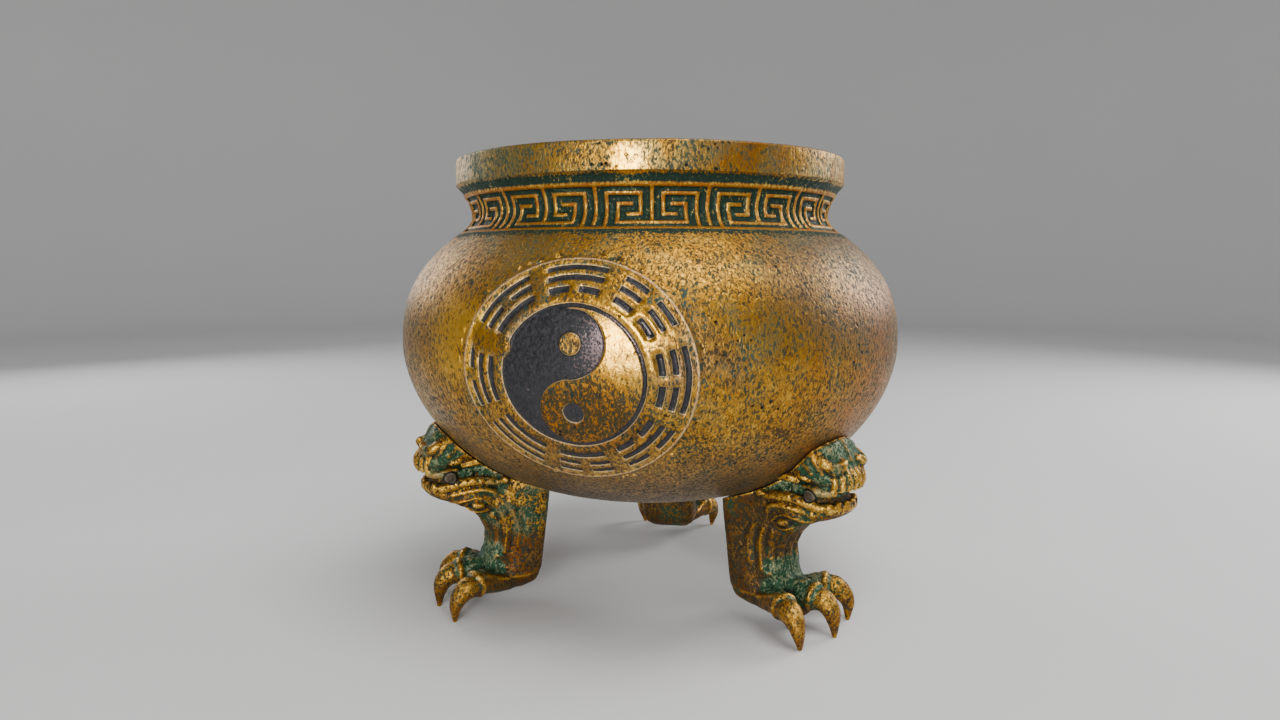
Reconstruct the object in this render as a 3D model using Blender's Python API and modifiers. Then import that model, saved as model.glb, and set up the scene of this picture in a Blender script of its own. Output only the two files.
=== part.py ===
"""A three-legged bronze incense burner: an open, hollow bowl with a key-fret neck and a
trigram disc on its belly, standing on three cast legs in the shape of beast heads over
clawed feet.

Lengths in the named sizes are millimetres and are turned to metres as the meshes are made.
+Z is up, the origin is on the bowl's axis at the level of the claw tips, and the middle of
the trigram disc faces -Y. Azimuths are degrees from -Y towards +X.
"""

import math

import bmesh
import bpy
import numpy as np
from mathutils import Matrix, Vector

MM = 0.001

# Heights, stacked from the floor up
CLEARANCE = 49.1  # floor to the underside of the belly
LOWER_BELLY = 71.0  # underside to the widest line
UPPER_BELLY = 49.4  # widest line to the foot of the neck
NECK_HEIGHT = 17.6
RIM_UNDERCUT = 4.0  # the slope between the neck and the rim band
RIM_BAND = 12.1

# Radii
RIM_RADIUS = 90.0
RIM_WIDTH = 11.5  # from the rim's outer edge in to the mouth
NECK_HEAD_INSET = 4.2  # the neck's top rail stands this far inside the rim
NECK_WAIST_INSET = 7.6
NECK_WAIST_SHARE = 0.52  # of the neck's height, from its top down to the waist
NECK_FOOT_INSET = 1.4
SHOULDER_STEP = 1.7  # the belly starts this far outside the foot of the neck
BELLY_BULGE = 25.0  # the widest line stands this far outside the belly's start
WALL = 5.0
FLOOR_FLAT_RADIUS = 22.0  # flat spot inside, at the bottom
FLOOR_CURVE_START = 1.3  # the inside's curve starts at this many radii of the flat spot
RIM_EDGE = 0.9  # worn corner at the rim's outer edge

# Belly section: |radius|^p + |height|^q = 1, other powers above and below the widest line
UPPER_POWERS = (1.2, 2.6)
LOWER_POWERS = (2.77, 1.74)

# Turned body's fineness
TURN_STEPS = 36
UPPER_ROWS = 5
LOWER_ROWS = 8
INNER_ROWS = 8
CURVE_POINTS = 60  # finely spaced points from which a section is read
SLOPE_REACH = 0.5  # a section's slope is read this far to both sides of a point
SAME_POINT = 0.00001  # metres between points that are one

# Key fret on the neck: mirrored pairs on a lattice of ten columns and five rows
FRET_PAIRS = 12
FRET_COLUMNS = 10
FRET_ROWS = 5
FRET_BREAKS = (0.0, 1.0, 3.0, 5.0)  # rows where the neck's curve is broken
FRET_STROKE = 1.3
FRET_RELIEF = 0.85
FRET_MIDDLE_RELIEF = 0.75  # a pair's middle stroke runs into the stroke under it
# Runs of the strokes over (column, row): columns from the pair's middle, rows from the top rail
FRET_SPIRAL = ((4.0, 4.95), (4.0, 1.0), (1.0, 1.0), (1.0, 3.0), (2.05, 3.0))
FRET_BRACKET = ((-1.9, 2.0), (-3.0, 2.0), (-3.0, 4.0), (3.0, 4.0), (3.0, 2.0), (1.9, 2.0))
FRET_DIVIDER = ((5.0, 0.1), (5.0, 4.15))
FRET_MIDDLE = ((0.0, 0.1), (0.0, 4.0))
RAIL_WIDTH = 1.2
RAIL_RELIEF = 0.9
RAIL_SLOPE = 0.4  # height in which a rail's side runs back into the neck

# Trigram disc on the belly
DISC_RADIUS = 47.2
DISC_DROP = 5.0  # middle of the disc below the widest line, along the surface
DISC_LINE = 0.9  # width of the raised ring round the disc
DISC_LINE_RELIEF = 0.5
CARVE_DEPTH = 1.0
CARVE_ROOT = 2.0  # raised forms reach this far into the wall
BAR_SHARES = (0.715, 0.82, 0.915)  # radii of a trigram's inner, middle and outer bars
BAR_THICKNESS = (2.7, 2.4, 2.3)
BAR_SPAN = 34.5  # degrees of the disc that a trigram fills
BAR_GAP_SHARE = 0.19  # gap of a broken bar
# Clockwise from the top, seen from outside; inner, middle, outer bar, True for an unbroken one
TRIGRAMS = (
    (False, True, True),
    (False, False, False),
    (False, False, True),
    (False, True, False),
    (True, False, False),
    (True, True, True),
    (True, True, False),
    (True, False, True),
)
WHIRL_RADIUS = 28.3  # the two-part whirl in the middle of the disc
WHIRL_BORDER = 2.0  # dark border round the whirl's light half
WHIRL_DOT = 4.1
WHIRL_ROWS = 14
WHIRL_LANES = 5  # faces across the whirl, which follow the belly's curve
DOT_ROWS = 8
ARC_STEP = 18.0  # longest straight piece of a trigram's bars, in degrees
RING_STEP = 13.5  # the same of the ring round the disc

# Legs
LEG_COUNT = 3
FIRST_LEG_AZIMUTH = 64.0
LEG_INSET = 63.8  # a leg's back face stands this far inside the belly's widest line
SEAM_GAP = 0.5
SEAM_STEPS = 48  # turned steps of the belly's seat in a leg
SEAM_ROWS = 24
LEG_TRIANGLES = 680  # before the leg is cut to the belly
LEG_GRAIN = 1.1  # voxel that fuses the leg's forms
LEG_SOFTENING = 0.5
LEG_SOFTENING_ROUNDS = 2
SECTION_SIDES = 20
BALL_ROWS = 12
LIMB_STEPS = 3  # sections between two points of a limb's path
LIMB_END_REACH = 0.7  # a limb's end stands this share of its radius further out
LIMB_END_SHARE = 0.6  # and is this share of its radius wide
NO_LIMB_RUNS_HERE = (0.31, 0.07, 0.95)  # a way that turns every limb's sections alike

# A leg is drawn for a bowl with this clearance and keeps its proportions when that changes.
# Its forms are placed by (outwards, aside, up): outwards from the back face, aside from the
# leg's middle plane and up from the floor.
LEG_DRAWN_CLEARANCE = 49.1
# Level sections: height, back, front, half width. A squareness of 2 is an oval.
BACK_SQUARENESS = 7.0
BACK_SECTIONS = (
    (8.2, 13.0, 30.0, 10.0),
    (11.5, 7.2, 30.0, 13.6),
    (16.5, 4.8, 26.0, 14.8),
    (26.0, 3.8, 22.0, 14.8),
    (54.0, 0.3, 22.0, 15.0),
    (92.0, 0.0, 24.0, 15.0),
)
SHIN_SQUARENESS = 2.8
SHIN_SECTIONS = (
    (6.3, 20.0, 38.0, 9.0),
    (9.5, 14.0, 38.5, 12.6),
    (16.0, 9.0, 35.0, 13.8),
    (24.0, 8.0, 30.4, 13.4),
    (34.0, 8.0, 28.8, 12.8),
    (41.0, 8.0, 32.0, 13.8),
    (46.5, 8.0, 37.5, 14.8),
    (54.0, 8.0, 39.0, 15.2),
    (64.0, 8.0, 40.0, 12.6),
    (74.0, 8.0, 44.0, 14.6),
    (92.0, 8.0, 46.0, 14.6),
)
# Upright sections: outwards, low, high, half width
JAW_SQUARENESS = 2.8
LOWER_JAW_SECTIONS = (
    (20.0, 44.0, 59.5, 13.8),
    (27.0, 45.0, 61.2, 15.2),
    (35.0, 46.0, 62.2, 15.8),
    (41.0, 47.8, 61.6, 15.2),
    (46.0, 50.3, 60.0, 13.8),
    (50.5, 51.8, 58.4, 12.0),
    (54.0, 53.2, 57.8, 9.0),
    (56.0, 54.8, 57.2, 5.0),
)
HEAD_SQUARENESS = 2.6
HEAD_SECTIONS = (
    (22.0, 67.2, 92.0, 13.8),
    (31.0, 66.6, 92.0, 15.4),
    (40.0, 65.8, 92.0, 15.9),
    (47.5, 64.2, 88.0, 16.0),
    (52.5, 63.2, 84.5, 14.8),
    (56.0, 63.8, 78.0, 12.2),
    (58.2, 65.2, 73.0, 8.6),
    (59.4, 67.0, 70.5, 4.6),
)
# Toes: where each one runs, with its radius; the side toes are mirrored
MIDDLE_TOE = (
    (24.0, 0.0, 15.0, 7.6),
    (36.0, 0.0, 15.8, 6.4),
    (44.5, 0.0, 15.2, 5.9),
    (49.2, 0.0, 12.2, 4.6),
    (50.4, 0.0, 7.6, 3.3),
    (50.9, 0.0, 3.6, 2.1),
    (51.2, 0.0, -0.6, 1.0),
)
SIDE_TOE = (
    (20.0, 6.0, 13.6, 7.4),
    (32.0, 13.6, 14.6, 6.2),
    (39.6, 18.4, 14.4, 5.7),
    (44.2, 20.6, 11.6, 4.5),
    (46.0, 21.2, 7.4, 3.2),
    (46.4, 20.7, 3.6, 2.1),
    (46.5, 20.2, -0.6, 1.0),
)
# Carved bands on the sides of the head: where each runs, with its radius; all are mirrored
CARVED_BANDS = (
    ((28.0, 15.0, 68.4, 0.9), (33.0, 16.2, 69.4, 2.3), (38.0, 16.5, 69.2, 2.1), (42.0, 16.0, 67.8, 0.9)),
    ((39.0, 15.9, 71.2, 0.7), (42.6, 16.5, 70.2, 1.3), (46.0, 16.2, 69.0, 0.8)),
    ((45.0, 16.0, 67.8, 1.2), (50.5, 15.2, 65.8, 1.9), (55.0, 12.4, 65.2, 2.1), (58.4, 7.4, 66.4, 2.2)),
    ((47.0, 15.8, 80.4, 0.8), (49.2, 16.2, 77.0, 1.2), (52.0, 15.2, 73.2, 0.8)),
    ((44.0, 16.0, 75.8, 0.7), (47.4, 16.2, 72.2, 0.9)),
    ((50.0, 14.8, 80.0, 1.2), (53.2, 13.4, 75.8, 2.0), (55.8, 10.2, 74.6, 2.4), (56.6, 6.2, 77.0, 1.8)),
    ((23.6, 15.0, 59.6, 1.0), (29.8, 15.8, 61.0, 1.6), (36.0, 16.0, 62.0, 1.8), (42.0, 15.4, 61.0, 1.6),
     (47.0, 13.9, 59.2, 1.4), (51.0, 12.2, 58.2, 1.6)),
    ((28.4, 15.2, 49.2, 0.7), (31.4, 15.8, 52.2, 0.9), (35.4, 16.0, 53.2, 1.0), (39.6, 15.4, 52.4, 0.9),
     (43.6, 13.8, 51.4, 0.8), (47.0, 11.6, 51.6, 0.7)),
    ((28.4, 15.2, 49.2, 0.7), (32.4, 15.8, 47.4, 0.9), (36.6, 15.6, 47.6, 0.9), (40.6, 14.4, 49.6, 0.7)),
)
# Round forms: middle and half sizes; all are mirrored
EYE = ((34.8, 14.6, 50.3), (4.6, 2.2, 2.2))
MOUTH_BEAD = ((46.6, 13.6, 63.2), (3.5, 2.6, 2.3))
LIP_TEETH = 4  # on each side of the upper lip's front
LIP_TOOTH_START = 1.6  # the first tooth's place beside the middle plane
LIP_TOOTH_PITCH = 3.3
LIP_FRONT = 59.4  # how far out the lip's front is in the middle plane
LIP_ROUNDING = 0.026  # how fast it falls back towards the sides
LIP_TOOTH = ((0.6, 72.6, 0.9), (0.0, 69.6, 1.5), (0.8, 65.6, 1.2))  # behind the front, up, radius
LOWER_TEETH = ((53.0, 9.2, 58.0), (55.2, 4.0, 58.4))
LOWER_TOOTH_RADIUS = 1.9

# Colour, roughness and metallic value of the two finishes
GILT_BRONZE = ((0.45, 0.28, 0.07), 0.42, 0.9)
GREEN_BRONZE = ((0.20, 0.22, 0.11), 0.55, 0.7)

# Heights and radii that follow
BELLY_TOP = CLEARANCE + LOWER_BELLY + UPPER_BELLY
WIDEST_Z = CLEARANCE + LOWER_BELLY
NECK_TOP = BELLY_TOP + NECK_HEIGHT
RIM_LOW = NECK_TOP + RIM_UNDERCUT
RIM_TOP = RIM_LOW + RIM_BAND
MOUTH_RADIUS = RIM_RADIUS - RIM_WIDTH
NECK_HEAD_RADIUS = RIM_RADIUS - NECK_HEAD_INSET
NECK_WAIST_RADIUS = RIM_RADIUS - NECK_WAIST_INSET
NECK_FOOT_RADIUS = RIM_RADIUS - NECK_FOOT_INSET
SHOULDER_RADIUS = NECK_FOOT_RADIUS + SHOULDER_STEP
BELLY_RADIUS = SHOULDER_RADIUS + BELLY_BULGE
LEG_BACK_RADIUS = BELLY_RADIUS - LEG_INSET
LIGHT_RADIUS = WHIRL_RADIUS - WHIRL_BORDER


def clear_scene():
    """Remove what a new file holds."""
    for item in list(bpy.data.objects):
        bpy.data.objects.remove(item)


def new_collection(name):
    """A collection of this name under the scene's own."""
    group = bpy.data.collections.new(name)
    bpy.context.scene.collection.children.link(group)
    return group


def new_object(name, mesh, group):
    """An object that holds the mesh, linked to the group."""
    item = bpy.data.objects.new(name, mesh)
    group.objects.link(item)
    return item


def as_cutter(item):
    """Mark an object as a tool that isn't part of the burner."""
    item.hide_render = True
    item.display_type = "WIRE"
    return item


def bronze(name, colour, roughness, metallic):
    """A Principled material."""
    material = bpy.data.materials.new(name)
    material.use_nodes = True
    shader = material.node_tree.nodes["Principled BSDF"]
    shader.inputs["Base Color"].default_value = (*colour, 1.0)
    shader.inputs["Roughness"].default_value = roughness
    shader.inputs["Metallic"].default_value = metallic
    return material


def evaluated_mesh(item):
    """The object's mesh with its modifiers applied."""
    bpy.context.view_layer.update()
    graph = bpy.context.evaluated_depsgraph_get()
    return bpy.data.meshes.new_from_object(item.evaluated_get(graph))


# The turned section of the bowl

def belly_curve(count, upper):
    """Points of the belly from the widest line to the neck's foot, or to the underside."""
    across, along = UPPER_POWERS if upper else LOWER_POWERS
    if upper:
        start = SHOULDER_RADIUS / BELLY_RADIUS
        height = UPPER_BELLY / (1.0 - start**across) ** (1.0 / along)
        last = math.asin((UPPER_BELLY / height) ** (along / 2.0))
    else:
        height = -LOWER_BELLY
        last = math.pi / 2.0
    points = []
    for i in range(count + 1):
        angle = last * i / count
        radius = BELLY_RADIUS * math.cos(angle) ** (2.0 / across)
        points.append((radius, WIDEST_Z + height * math.sin(angle) ** (2.0 / along)))
    return points


def neck_curve(count):
    """Points of the neck's hollow from the top rail down to the bottom rail."""
    waist = NECK_WAIST_SHARE
    points = []
    for i in range(count + 1):
        share = i / count
        reach = NECK_HEAD_RADIUS if share < waist else NECK_FOOT_RADIUS
        depth = (share - waist) / (waist if share < waist else 1.0 - waist)
        radius = NECK_WAIST_RADIUS + (reach - NECK_WAIST_RADIUS) * depth * depth
        points.append((radius, NECK_TOP - share * NECK_HEIGHT))
    return points


class Surface:
    """A turned surface that is walked by azimuth and by the length along its section."""

    def __init__(self, section):
        self.section = np.array(section)
        steps = np.hypot(*np.diff(self.section, axis=0).T)
        self.length = np.concatenate([[0.0], np.cumsum(steps)])

    def at(self, along):
        """Radius and height at this length along the section."""
        radius = float(np.interp(along, self.length, self.section[:, 0]))
        return radius, float(np.interp(along, self.length, self.section[:, 1]))

    def point(self, azimuth, along, lift):
        """The point, in metres, that stands off the surface by lift."""
        before, after = self.at(along - SLOPE_REACH), self.at(along + SLOPE_REACH)
        slope = Vector((after[0] - before[0], after[1] - before[1])).normalized()
        radius, height = self.at(along)
        radius -= slope.y * lift
        height += slope.x * lift
        turn = math.radians(azimuth)
        return Vector((radius * math.sin(turn), -radius * math.cos(turn), height)) * MM


def neck_surface():
    """The neck's hollow, walked downwards from the top rail."""
    return Surface(neck_curve(CURVE_POINTS))


def belly_surface():
    """The belly, walked downwards from the foot of the neck."""
    upper = belly_curve(CURVE_POINTS, True)[::-1]
    return Surface(upper + belly_curve(CURVE_POINTS, False)[1:])


def row_points(surface, rows):
    """Section points at these shares of the surface's length."""
    return [surface.at(share * surface.length[-1]) for share in rows]


def outer_section():
    """The bowl's outside from the rim's outer edge to the middle of the underside."""
    neck = row_points(neck_surface(), [row / FRET_ROWS for row in FRET_BREAKS])
    head, foot = neck[0], neck[-1]
    top_rail = [
        (head[0] + RAIL_RELIEF, head[1]),
        (head[0] + RAIL_RELIEF, head[1] - RAIL_WIDTH),
        (head[0] - RAIL_SLOPE, head[1] - RAIL_WIDTH - RAIL_SLOPE),
    ]
    foot_rail = [
        (foot[0] - RAIL_RELIEF, foot[1] + RAIL_WIDTH + RAIL_SLOPE),
        (foot[0] + RAIL_RELIEF, foot[1] + RAIL_WIDTH),
    ]
    upper = belly_curve(UPPER_ROWS, True)[::-1]
    lower = belly_curve(LOWER_ROWS, False)[1:]
    return [
        (RIM_RADIUS - RIM_EDGE, RIM_TOP),
        (RIM_RADIUS, RIM_TOP - RIM_EDGE),
        (RIM_RADIUS, RIM_LOW),
        *top_rail,
        *neck[1:-1],
        *foot_rail,
        *upper,
        *lower[:-1],
        (0.0, CLEARANCE),
    ]


def inner_section():
    """The bowl's inside from the middle of the floor to the rim's inner edge."""
    surface = belly_surface()
    points = [(0.0, CLEARANCE + WALL), (FLOOR_FLAT_RADIUS, CLEARANCE + WALL)]
    for i in range(1, INNER_ROWS):
        share = 1.0 - i / INNER_ROWS
        inside = surface.point(90.0, share * surface.length[-1], -WALL) / MM
        if inside.x > FLOOR_FLAT_RADIUS * FLOOR_CURVE_START and inside.z > CLEARANCE + WALL:
            points.append((inside.x, inside.z))
    points.append((MOUTH_RADIUS, BELLY_TOP))
    points.append((MOUTH_RADIUS, RIM_TOP))
    return points


def turned(name, section, steps, group):
    """A section at +X turned about Z with a Screw modifier."""
    mesh = bpy.data.meshes.new(name)
    shape = bmesh.new()
    verts = [shape.verts.new((radius * MM, 0.0, height * MM)) for radius, height in section]
    for first, second in zip(verts, verts[1:]):
        shape.edges.new((first, second))
    shape.to_mesh(mesh)
    shape.free()
    item = new_object(name, mesh, group)
    screw = item.modifiers.new("Turn", "SCREW")
    screw.steps = steps
    screw.render_steps = steps
    screw.use_merge_vertices = True
    screw.merge_threshold = SAME_POINT
    return item


# Raised and sunk shapes that follow a surface

def ribbon(shape, left, right, low, high, lanes=1):
    """A closed band between two rows of points, with an underside and a top side.

    left and right are rows of (across, along) pairs, and lanes is how many faces lie
    between them. low and high turn such a pair into a point under and over the surface.
    """
    rows = []
    for (x0, y0), (x1, y1) in zip(left, right):
        shares = [lane / lanes for lane in range(lanes + 1)]
        under = [low((x0 + (x1 - x0) * t, y0 + (y1 - y0) * t)) for t in shares]
        over = [high((x0 + (x1 - x0) * t, y0 + (y1 - y0) * t)) for t in reversed(shares)]
        rows.append([shape.verts.new(corner) for corner in under + over])
    around = len(rows[0])
    is_ring = math.dist(left[0], left[-1]) < SAME_POINT
    if not is_ring:
        for row in (rows[0], rows[-1]):
            for lane in range(lanes):
                near, far = row[lane:lane + 2], row[around - lane - 2:around - lane]
                shape.faces.new((*near, *far))
    for near, far in zip(rows, rows[1:]):
        for i in range(around):
            j = (i + 1) % around
            shape.faces.new((near[i], near[j], far[j], far[i]))


def finish_shape(shape, name):
    """Turn the bmesh into a mesh whose closed shapes face outwards."""
    bmesh.ops.remove_doubles(shape, verts=shape.verts, dist=SAME_POINT)
    bmesh.ops.dissolve_degenerate(shape, edges=shape.edges, dist=SAME_POINT)
    bmesh.ops.recalc_face_normals(shape, faces=shape.faces)
    mesh = bpy.data.meshes.new(name)
    shape.to_mesh(mesh)
    shape.free()
    return mesh


def stroke_sides(path, half_wide, half_high):
    """Both edges of a stroke along a path of level and upright runs, corners mitred."""
    left, right = [], []
    for i, (x, y) in enumerate(path):
        before = path[max(i - 1, 0)]
        after = path[min(i + 1, len(path) - 1)]
        come = (np.sign(x - before[0]), np.sign(y - before[1]))
        go = (np.sign(after[0] - x), np.sign(after[1] - y))
        come = go if i == 0 else come
        go = come if i == len(path) - 1 else go
        normal = {(-come[1], come[0]), (-go[1], go[0])}
        dx = half_wide * sum(n[0] for n in normal)
        dy = half_high * sum(n[1] for n in normal)
        left.append((x + dx, y + dy))
        right.append((x - dx, y - dy))
    return left, right


def broken_path(path):
    """The path with a point wherever an upright run crosses a break of the neck's curve."""
    points = [path[0]]
    for (x0, y0), (x1, y1) in zip(path, path[1:]):
        between = [row for row in FRET_BREAKS if min(y0, y1) < row < max(y0, y1)]
        between.sort(reverse=y1 < y0)
        points.extend((x0, row) for row in between)
        if abs(x1 - x0) > FRET_COLUMNS / 3.0:
            points.append(((x0 + x1) / 2.0, y0))
        points.append((x1, y1))
    return points


def fret_paths():
    """Strokes of one mirrored pair, but for the one in its middle."""
    spirals = [[(side * column, row) for column, row in FRET_SPIRAL] for side in (-1.0, 1.0)]
    return [*spirals, FRET_BRACKET, FRET_DIVIDER]


def fret_mesh(name, paths, relief):
    """The given strokes of every pair round the neck, as closed bands."""
    surface = neck_surface()
    column = 360.0 / FRET_PAIRS / FRET_COLUMNS
    row = surface.length[-1] / FRET_ROWS
    half_wide = FRET_STROKE / 2.0 / (math.radians(column) * NECK_WAIST_RADIUS)
    half_high = FRET_STROKE / 2.0 / row
    shape = bmesh.new()
    for pair in range(FRET_PAIRS):
        middle = (pair + 0.5) * 360.0 / FRET_PAIRS

        def stand_off(place, lift, middle=middle):
            return surface.point(middle + place[0] * column, place[1] * row, lift)

        for path in paths:
            left, right = stroke_sides(broken_path(path), half_wide, half_high)
            ribbon(shape, left, right,
                   lambda place: stand_off(place, -WALL / 4.0),
                   lambda place: stand_off(place, relief))
    return finish_shape(shape, name)


def on_disc(surface, place, lift):
    """The point of the belly at (right, up) from the middle of the disc."""
    azimuth = math.degrees(place[0] / BELLY_RADIUS)
    widest = surface.length[CURVE_POINTS]
    return surface.point(azimuth, widest + DISC_DROP - place[1], lift)


def arc(radius, start, end, step):
    """Points (right, up) along an arc of the disc, clockwise degrees from the top."""
    count = max(1, math.ceil(abs(end - start) / step))
    turns = [math.radians(start + (end - start) * i / count) for i in range(count + 1)]
    return [(radius * math.sin(turn), radius * math.cos(turn)) for turn in turns]


def disc_ribbons(name, *fields):
    """A mesh of closed bands on the belly.

    Each field holds its pairs of edges, how far the bands reach under and over the belly,
    and how many faces lie between the edges.
    """
    surface = belly_surface()
    shape = bmesh.new()
    for pairs, depth, height, lanes in fields:
        for left, right in pairs:
            ribbon(shape, left, right,
                   lambda place: on_disc(surface, place, -depth),
                   lambda place: on_disc(surface, place, height), lanes)
    return finish_shape(shape, name)


def trigram_edges():
    """Inner and outer edges of every bar of the eight trigrams."""
    pairs = []
    pitch = 360.0 / len(TRIGRAMS)
    for number, bars in enumerate(TRIGRAMS):
        first = number * pitch - BAR_SPAN / 2.0
        last = first + BAR_SPAN
        for share, thick, unbroken in zip(BAR_SHARES, BAR_THICKNESS, bars):
            part = BAR_SPAN * (1.0 - BAR_GAP_SHARE) / 2.0
            spans = [(first, last)] if unbroken else [(first, first + part), (last - part, last)]
            for start, end in spans:
                middle = share * DISC_RADIUS
                pairs.append((arc(middle - thick / 2.0, start, end, ARC_STEP),
                              arc(middle + thick / 2.0, start, end, ARC_STEP)))
    return pairs


def whirl_edges(count):
    """Left and right edges of the whirl's light half, from its foot to its tail."""
    left, right = [], []
    half = LIGHT_RADIUS / 2.0
    for i in range(count + 1):
        up = -LIGHT_RADIUS * math.cos(math.pi * i / count)
        lobe = half if up > 0.0 else -half
        reach = math.sqrt(max(half * half - (up - lobe) ** 2, 0.0))
        left.append((math.copysign(reach, up), up))
        right.append((math.sqrt(max(LIGHT_RADIUS**2 - up * up, 0.0)), up))
    return left, right


def round_edges(up, radius, count):
    """Left and right edges of a round field whose middle is this far up the disc."""
    heights = [-radius * math.cos(math.pi * i / count) for i in range(count + 1)]
    reach = [math.sqrt(max(radius * radius - h * h, 0.0)) for h in heights]
    return ([(-r, up + h) for r, h in zip(reach, heights)],
            [(r, up + h) for r, h in zip(reach, heights)])


def disc_line_edges():
    """Both edges of the raised line round the disc."""
    return [arc(radius, 0.0, 360.0, RING_STEP)
            for radius in (DISC_RADIUS - DISC_LINE, DISC_RADIUS)]


def combine(item, tool, operation):
    """Join a tool to the object or cut the object with it, and merge what lies together."""
    boolean = item.modifiers.new(tool.name, "BOOLEAN")
    boolean.object = tool
    boolean.operation = operation
    boolean.solver = "EXACT"
    weld = item.modifiers.new(f"{tool.name}_weld", "WELD")
    weld.merge_threshold = SAME_POINT


def make_bowl(parts, tools):
    """The bowl: turned body, key fret and the carved disc."""
    bowl = turned("bowl", inner_section() + outer_section(), TURN_STEPS, parts)
    lobe = LIGHT_RADIUS / 2.0
    bars = (trigram_edges(), CARVE_DEPTH, WALL, 1)
    field = ([round_edges(0.0, WHIRL_RADIUS, WHIRL_ROWS)], CARVE_DEPTH, WALL, WHIRL_LANES)
    light = ([whirl_edges(WHIRL_ROWS)], CARVE_ROOT, 0.0, WHIRL_LANES // 2 + 1)
    dot = ([round_edges(lobe, WHIRL_DOT, DOT_ROWS)], CARVE_ROOT, 0.0, 1)
    line = ([disc_line_edges()], CARVE_ROOT, DISC_LINE_RELIEF, 1)
    hole = ([round_edges(-lobe, WHIRL_DOT, DOT_ROWS)], CARVE_DEPTH, WALL, 1)
    works = [
        ("fret_strokes", fret_mesh("fret_strokes", fret_paths(), FRET_RELIEF), "UNION"),
        ("fret_middles", fret_mesh("fret_middles", [FRET_MIDDLE], FRET_MIDDLE_RELIEF), "UNION"),
        ("sunk_disc", disc_ribbons("sunk_disc", bars, field), "DIFFERENCE"),
        ("raised_disc", disc_ribbons("raised_disc", light, dot, line), "UNION"),
        ("sunk_dot", disc_ribbons("sunk_dot", hole), "DIFFERENCE"),
    ]
    for name, mesh, operation in works:
        combine(bowl, as_cutter(new_object(name, mesh, tools)), operation)
    return bowl


# The legs

def oval(middle, wide, high, power=2.0):
    """Points of a rounded section spanned by two half axes."""
    points = []
    for i in range(SECTION_SIDES):
        turn = 2.0 * math.pi * i / SECTION_SIDES
        c, s = math.cos(turn), math.sin(turn)
        c = math.copysign(abs(c) ** (2.0 / power), c)
        s = math.copysign(abs(s) ** (2.0 / power), s)
        points.append(middle + wide * c + high * s)
    return points


def loft(shape, sections):
    """A closed form through sections that have as many points each."""
    rings = [[shape.verts.new(point * MM) for point in section] for section in sections]
    shape.faces.new(rings[0])
    shape.faces.new(rings[-1])
    for near, far in zip(rings, rings[1:]):
        for i in range(SECTION_SIDES):
            j = (i + 1) % SECTION_SIDES
            shape.faces.new((near[i], near[j], far[j], far[i]))


def smooth_path(path, steps):
    """A curve through the path's points, of any number of values each."""
    points = [np.array(point) for point in path]
    points = [2.0 * points[0] - points[1], *points, 2.0 * points[-1] - points[-2]]
    curve = []
    for a, b, c, d in zip(points, points[1:], points[2:], points[3:]):
        for i in range(steps):
            t = i / steps
            curve.append(0.5 * (2.0 * b + (c - a) * t + (2.0 * a - 5.0 * b + 4.0 * c - d) * t**2
                                + (3.0 * b - a - 3.0 * c + d) * t**3))
    return [*curve, points[-2]]


def limb(shape, path):
    """A round form along a path of (outwards, aside, up, radius)."""
    curve = smooth_path(path, LIMB_STEPS)
    middles = [Vector(point[:3]) for point in curve]
    radii = [float(point[3]) for point in curve]
    ahead = [(after - before).normalized()
             for before, after in zip([middles[0], *middles], [*middles[1:], middles[-1]])]
    first = middles[0] - ahead[0] * radii[0] * LIMB_END_REACH
    last = middles[-1] + ahead[-1] * radii[-1] * LIMB_END_REACH
    middles = [first, *middles, last]
    radii = [radii[0] * LIMB_END_SHARE, *radii, radii[-1] * LIMB_END_SHARE]
    sections = []
    for middle, way, radius in zip(middles, [ahead[0], *ahead, ahead[-1]], radii):
        wide = way.cross(Vector(NO_LIMB_RUNS_HERE)).normalized()
        sections.append(oval(middle, wide * radius, way.cross(wide) * radius))
    loft(shape, sections)


def ball(shape, middle, half):
    """A round form with these half sizes."""
    place = Matrix.Translation(Vector(middle) * MM) @ Matrix.Diagonal((*(Vector(half) * MM), 1.0))
    bmesh.ops.create_uvsphere(shape, u_segments=SECTION_SIDES, v_segments=BALL_ROWS, radius=1.0,
                              matrix=place)


def level_loft(shape, sections, power):
    """A form through level sections of (height, back, front, half width)."""
    loft(shape, [oval(Vector(((back + front) / 2.0, 0.0, up)),
                      Vector(((front - back) / 2.0, 0.0, 0.0)), Vector((0.0, half, 0.0)), power)
                 for up, back, front, half in sections])


def upright_loft(shape, sections, power):
    """A form through upright sections of (outwards, low, high, half width)."""
    loft(shape, [oval(Vector((out, 0.0, (low + high) / 2.0)), Vector((0.0, half, 0.0)),
                      Vector((0.0, 0.0, (high - low) / 2.0)), power)
                 for out, low, high, half in sections])


def aside(path, side):
    """The path on this side of the leg's middle plane."""
    return [(point[0], side * point[1], *point[2:]) for point in path]


def lip_tooth(number):
    """Path of an upright tooth of the upper lip, counted from the middle plane."""
    reach = LIP_TOOTH_START + number * LIP_TOOTH_PITCH
    front = LIP_FRONT - LIP_ROUNDING * reach * reach
    return [(front - behind, reach, up, radius) for behind, up, radius in LIP_TOOTH]


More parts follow.
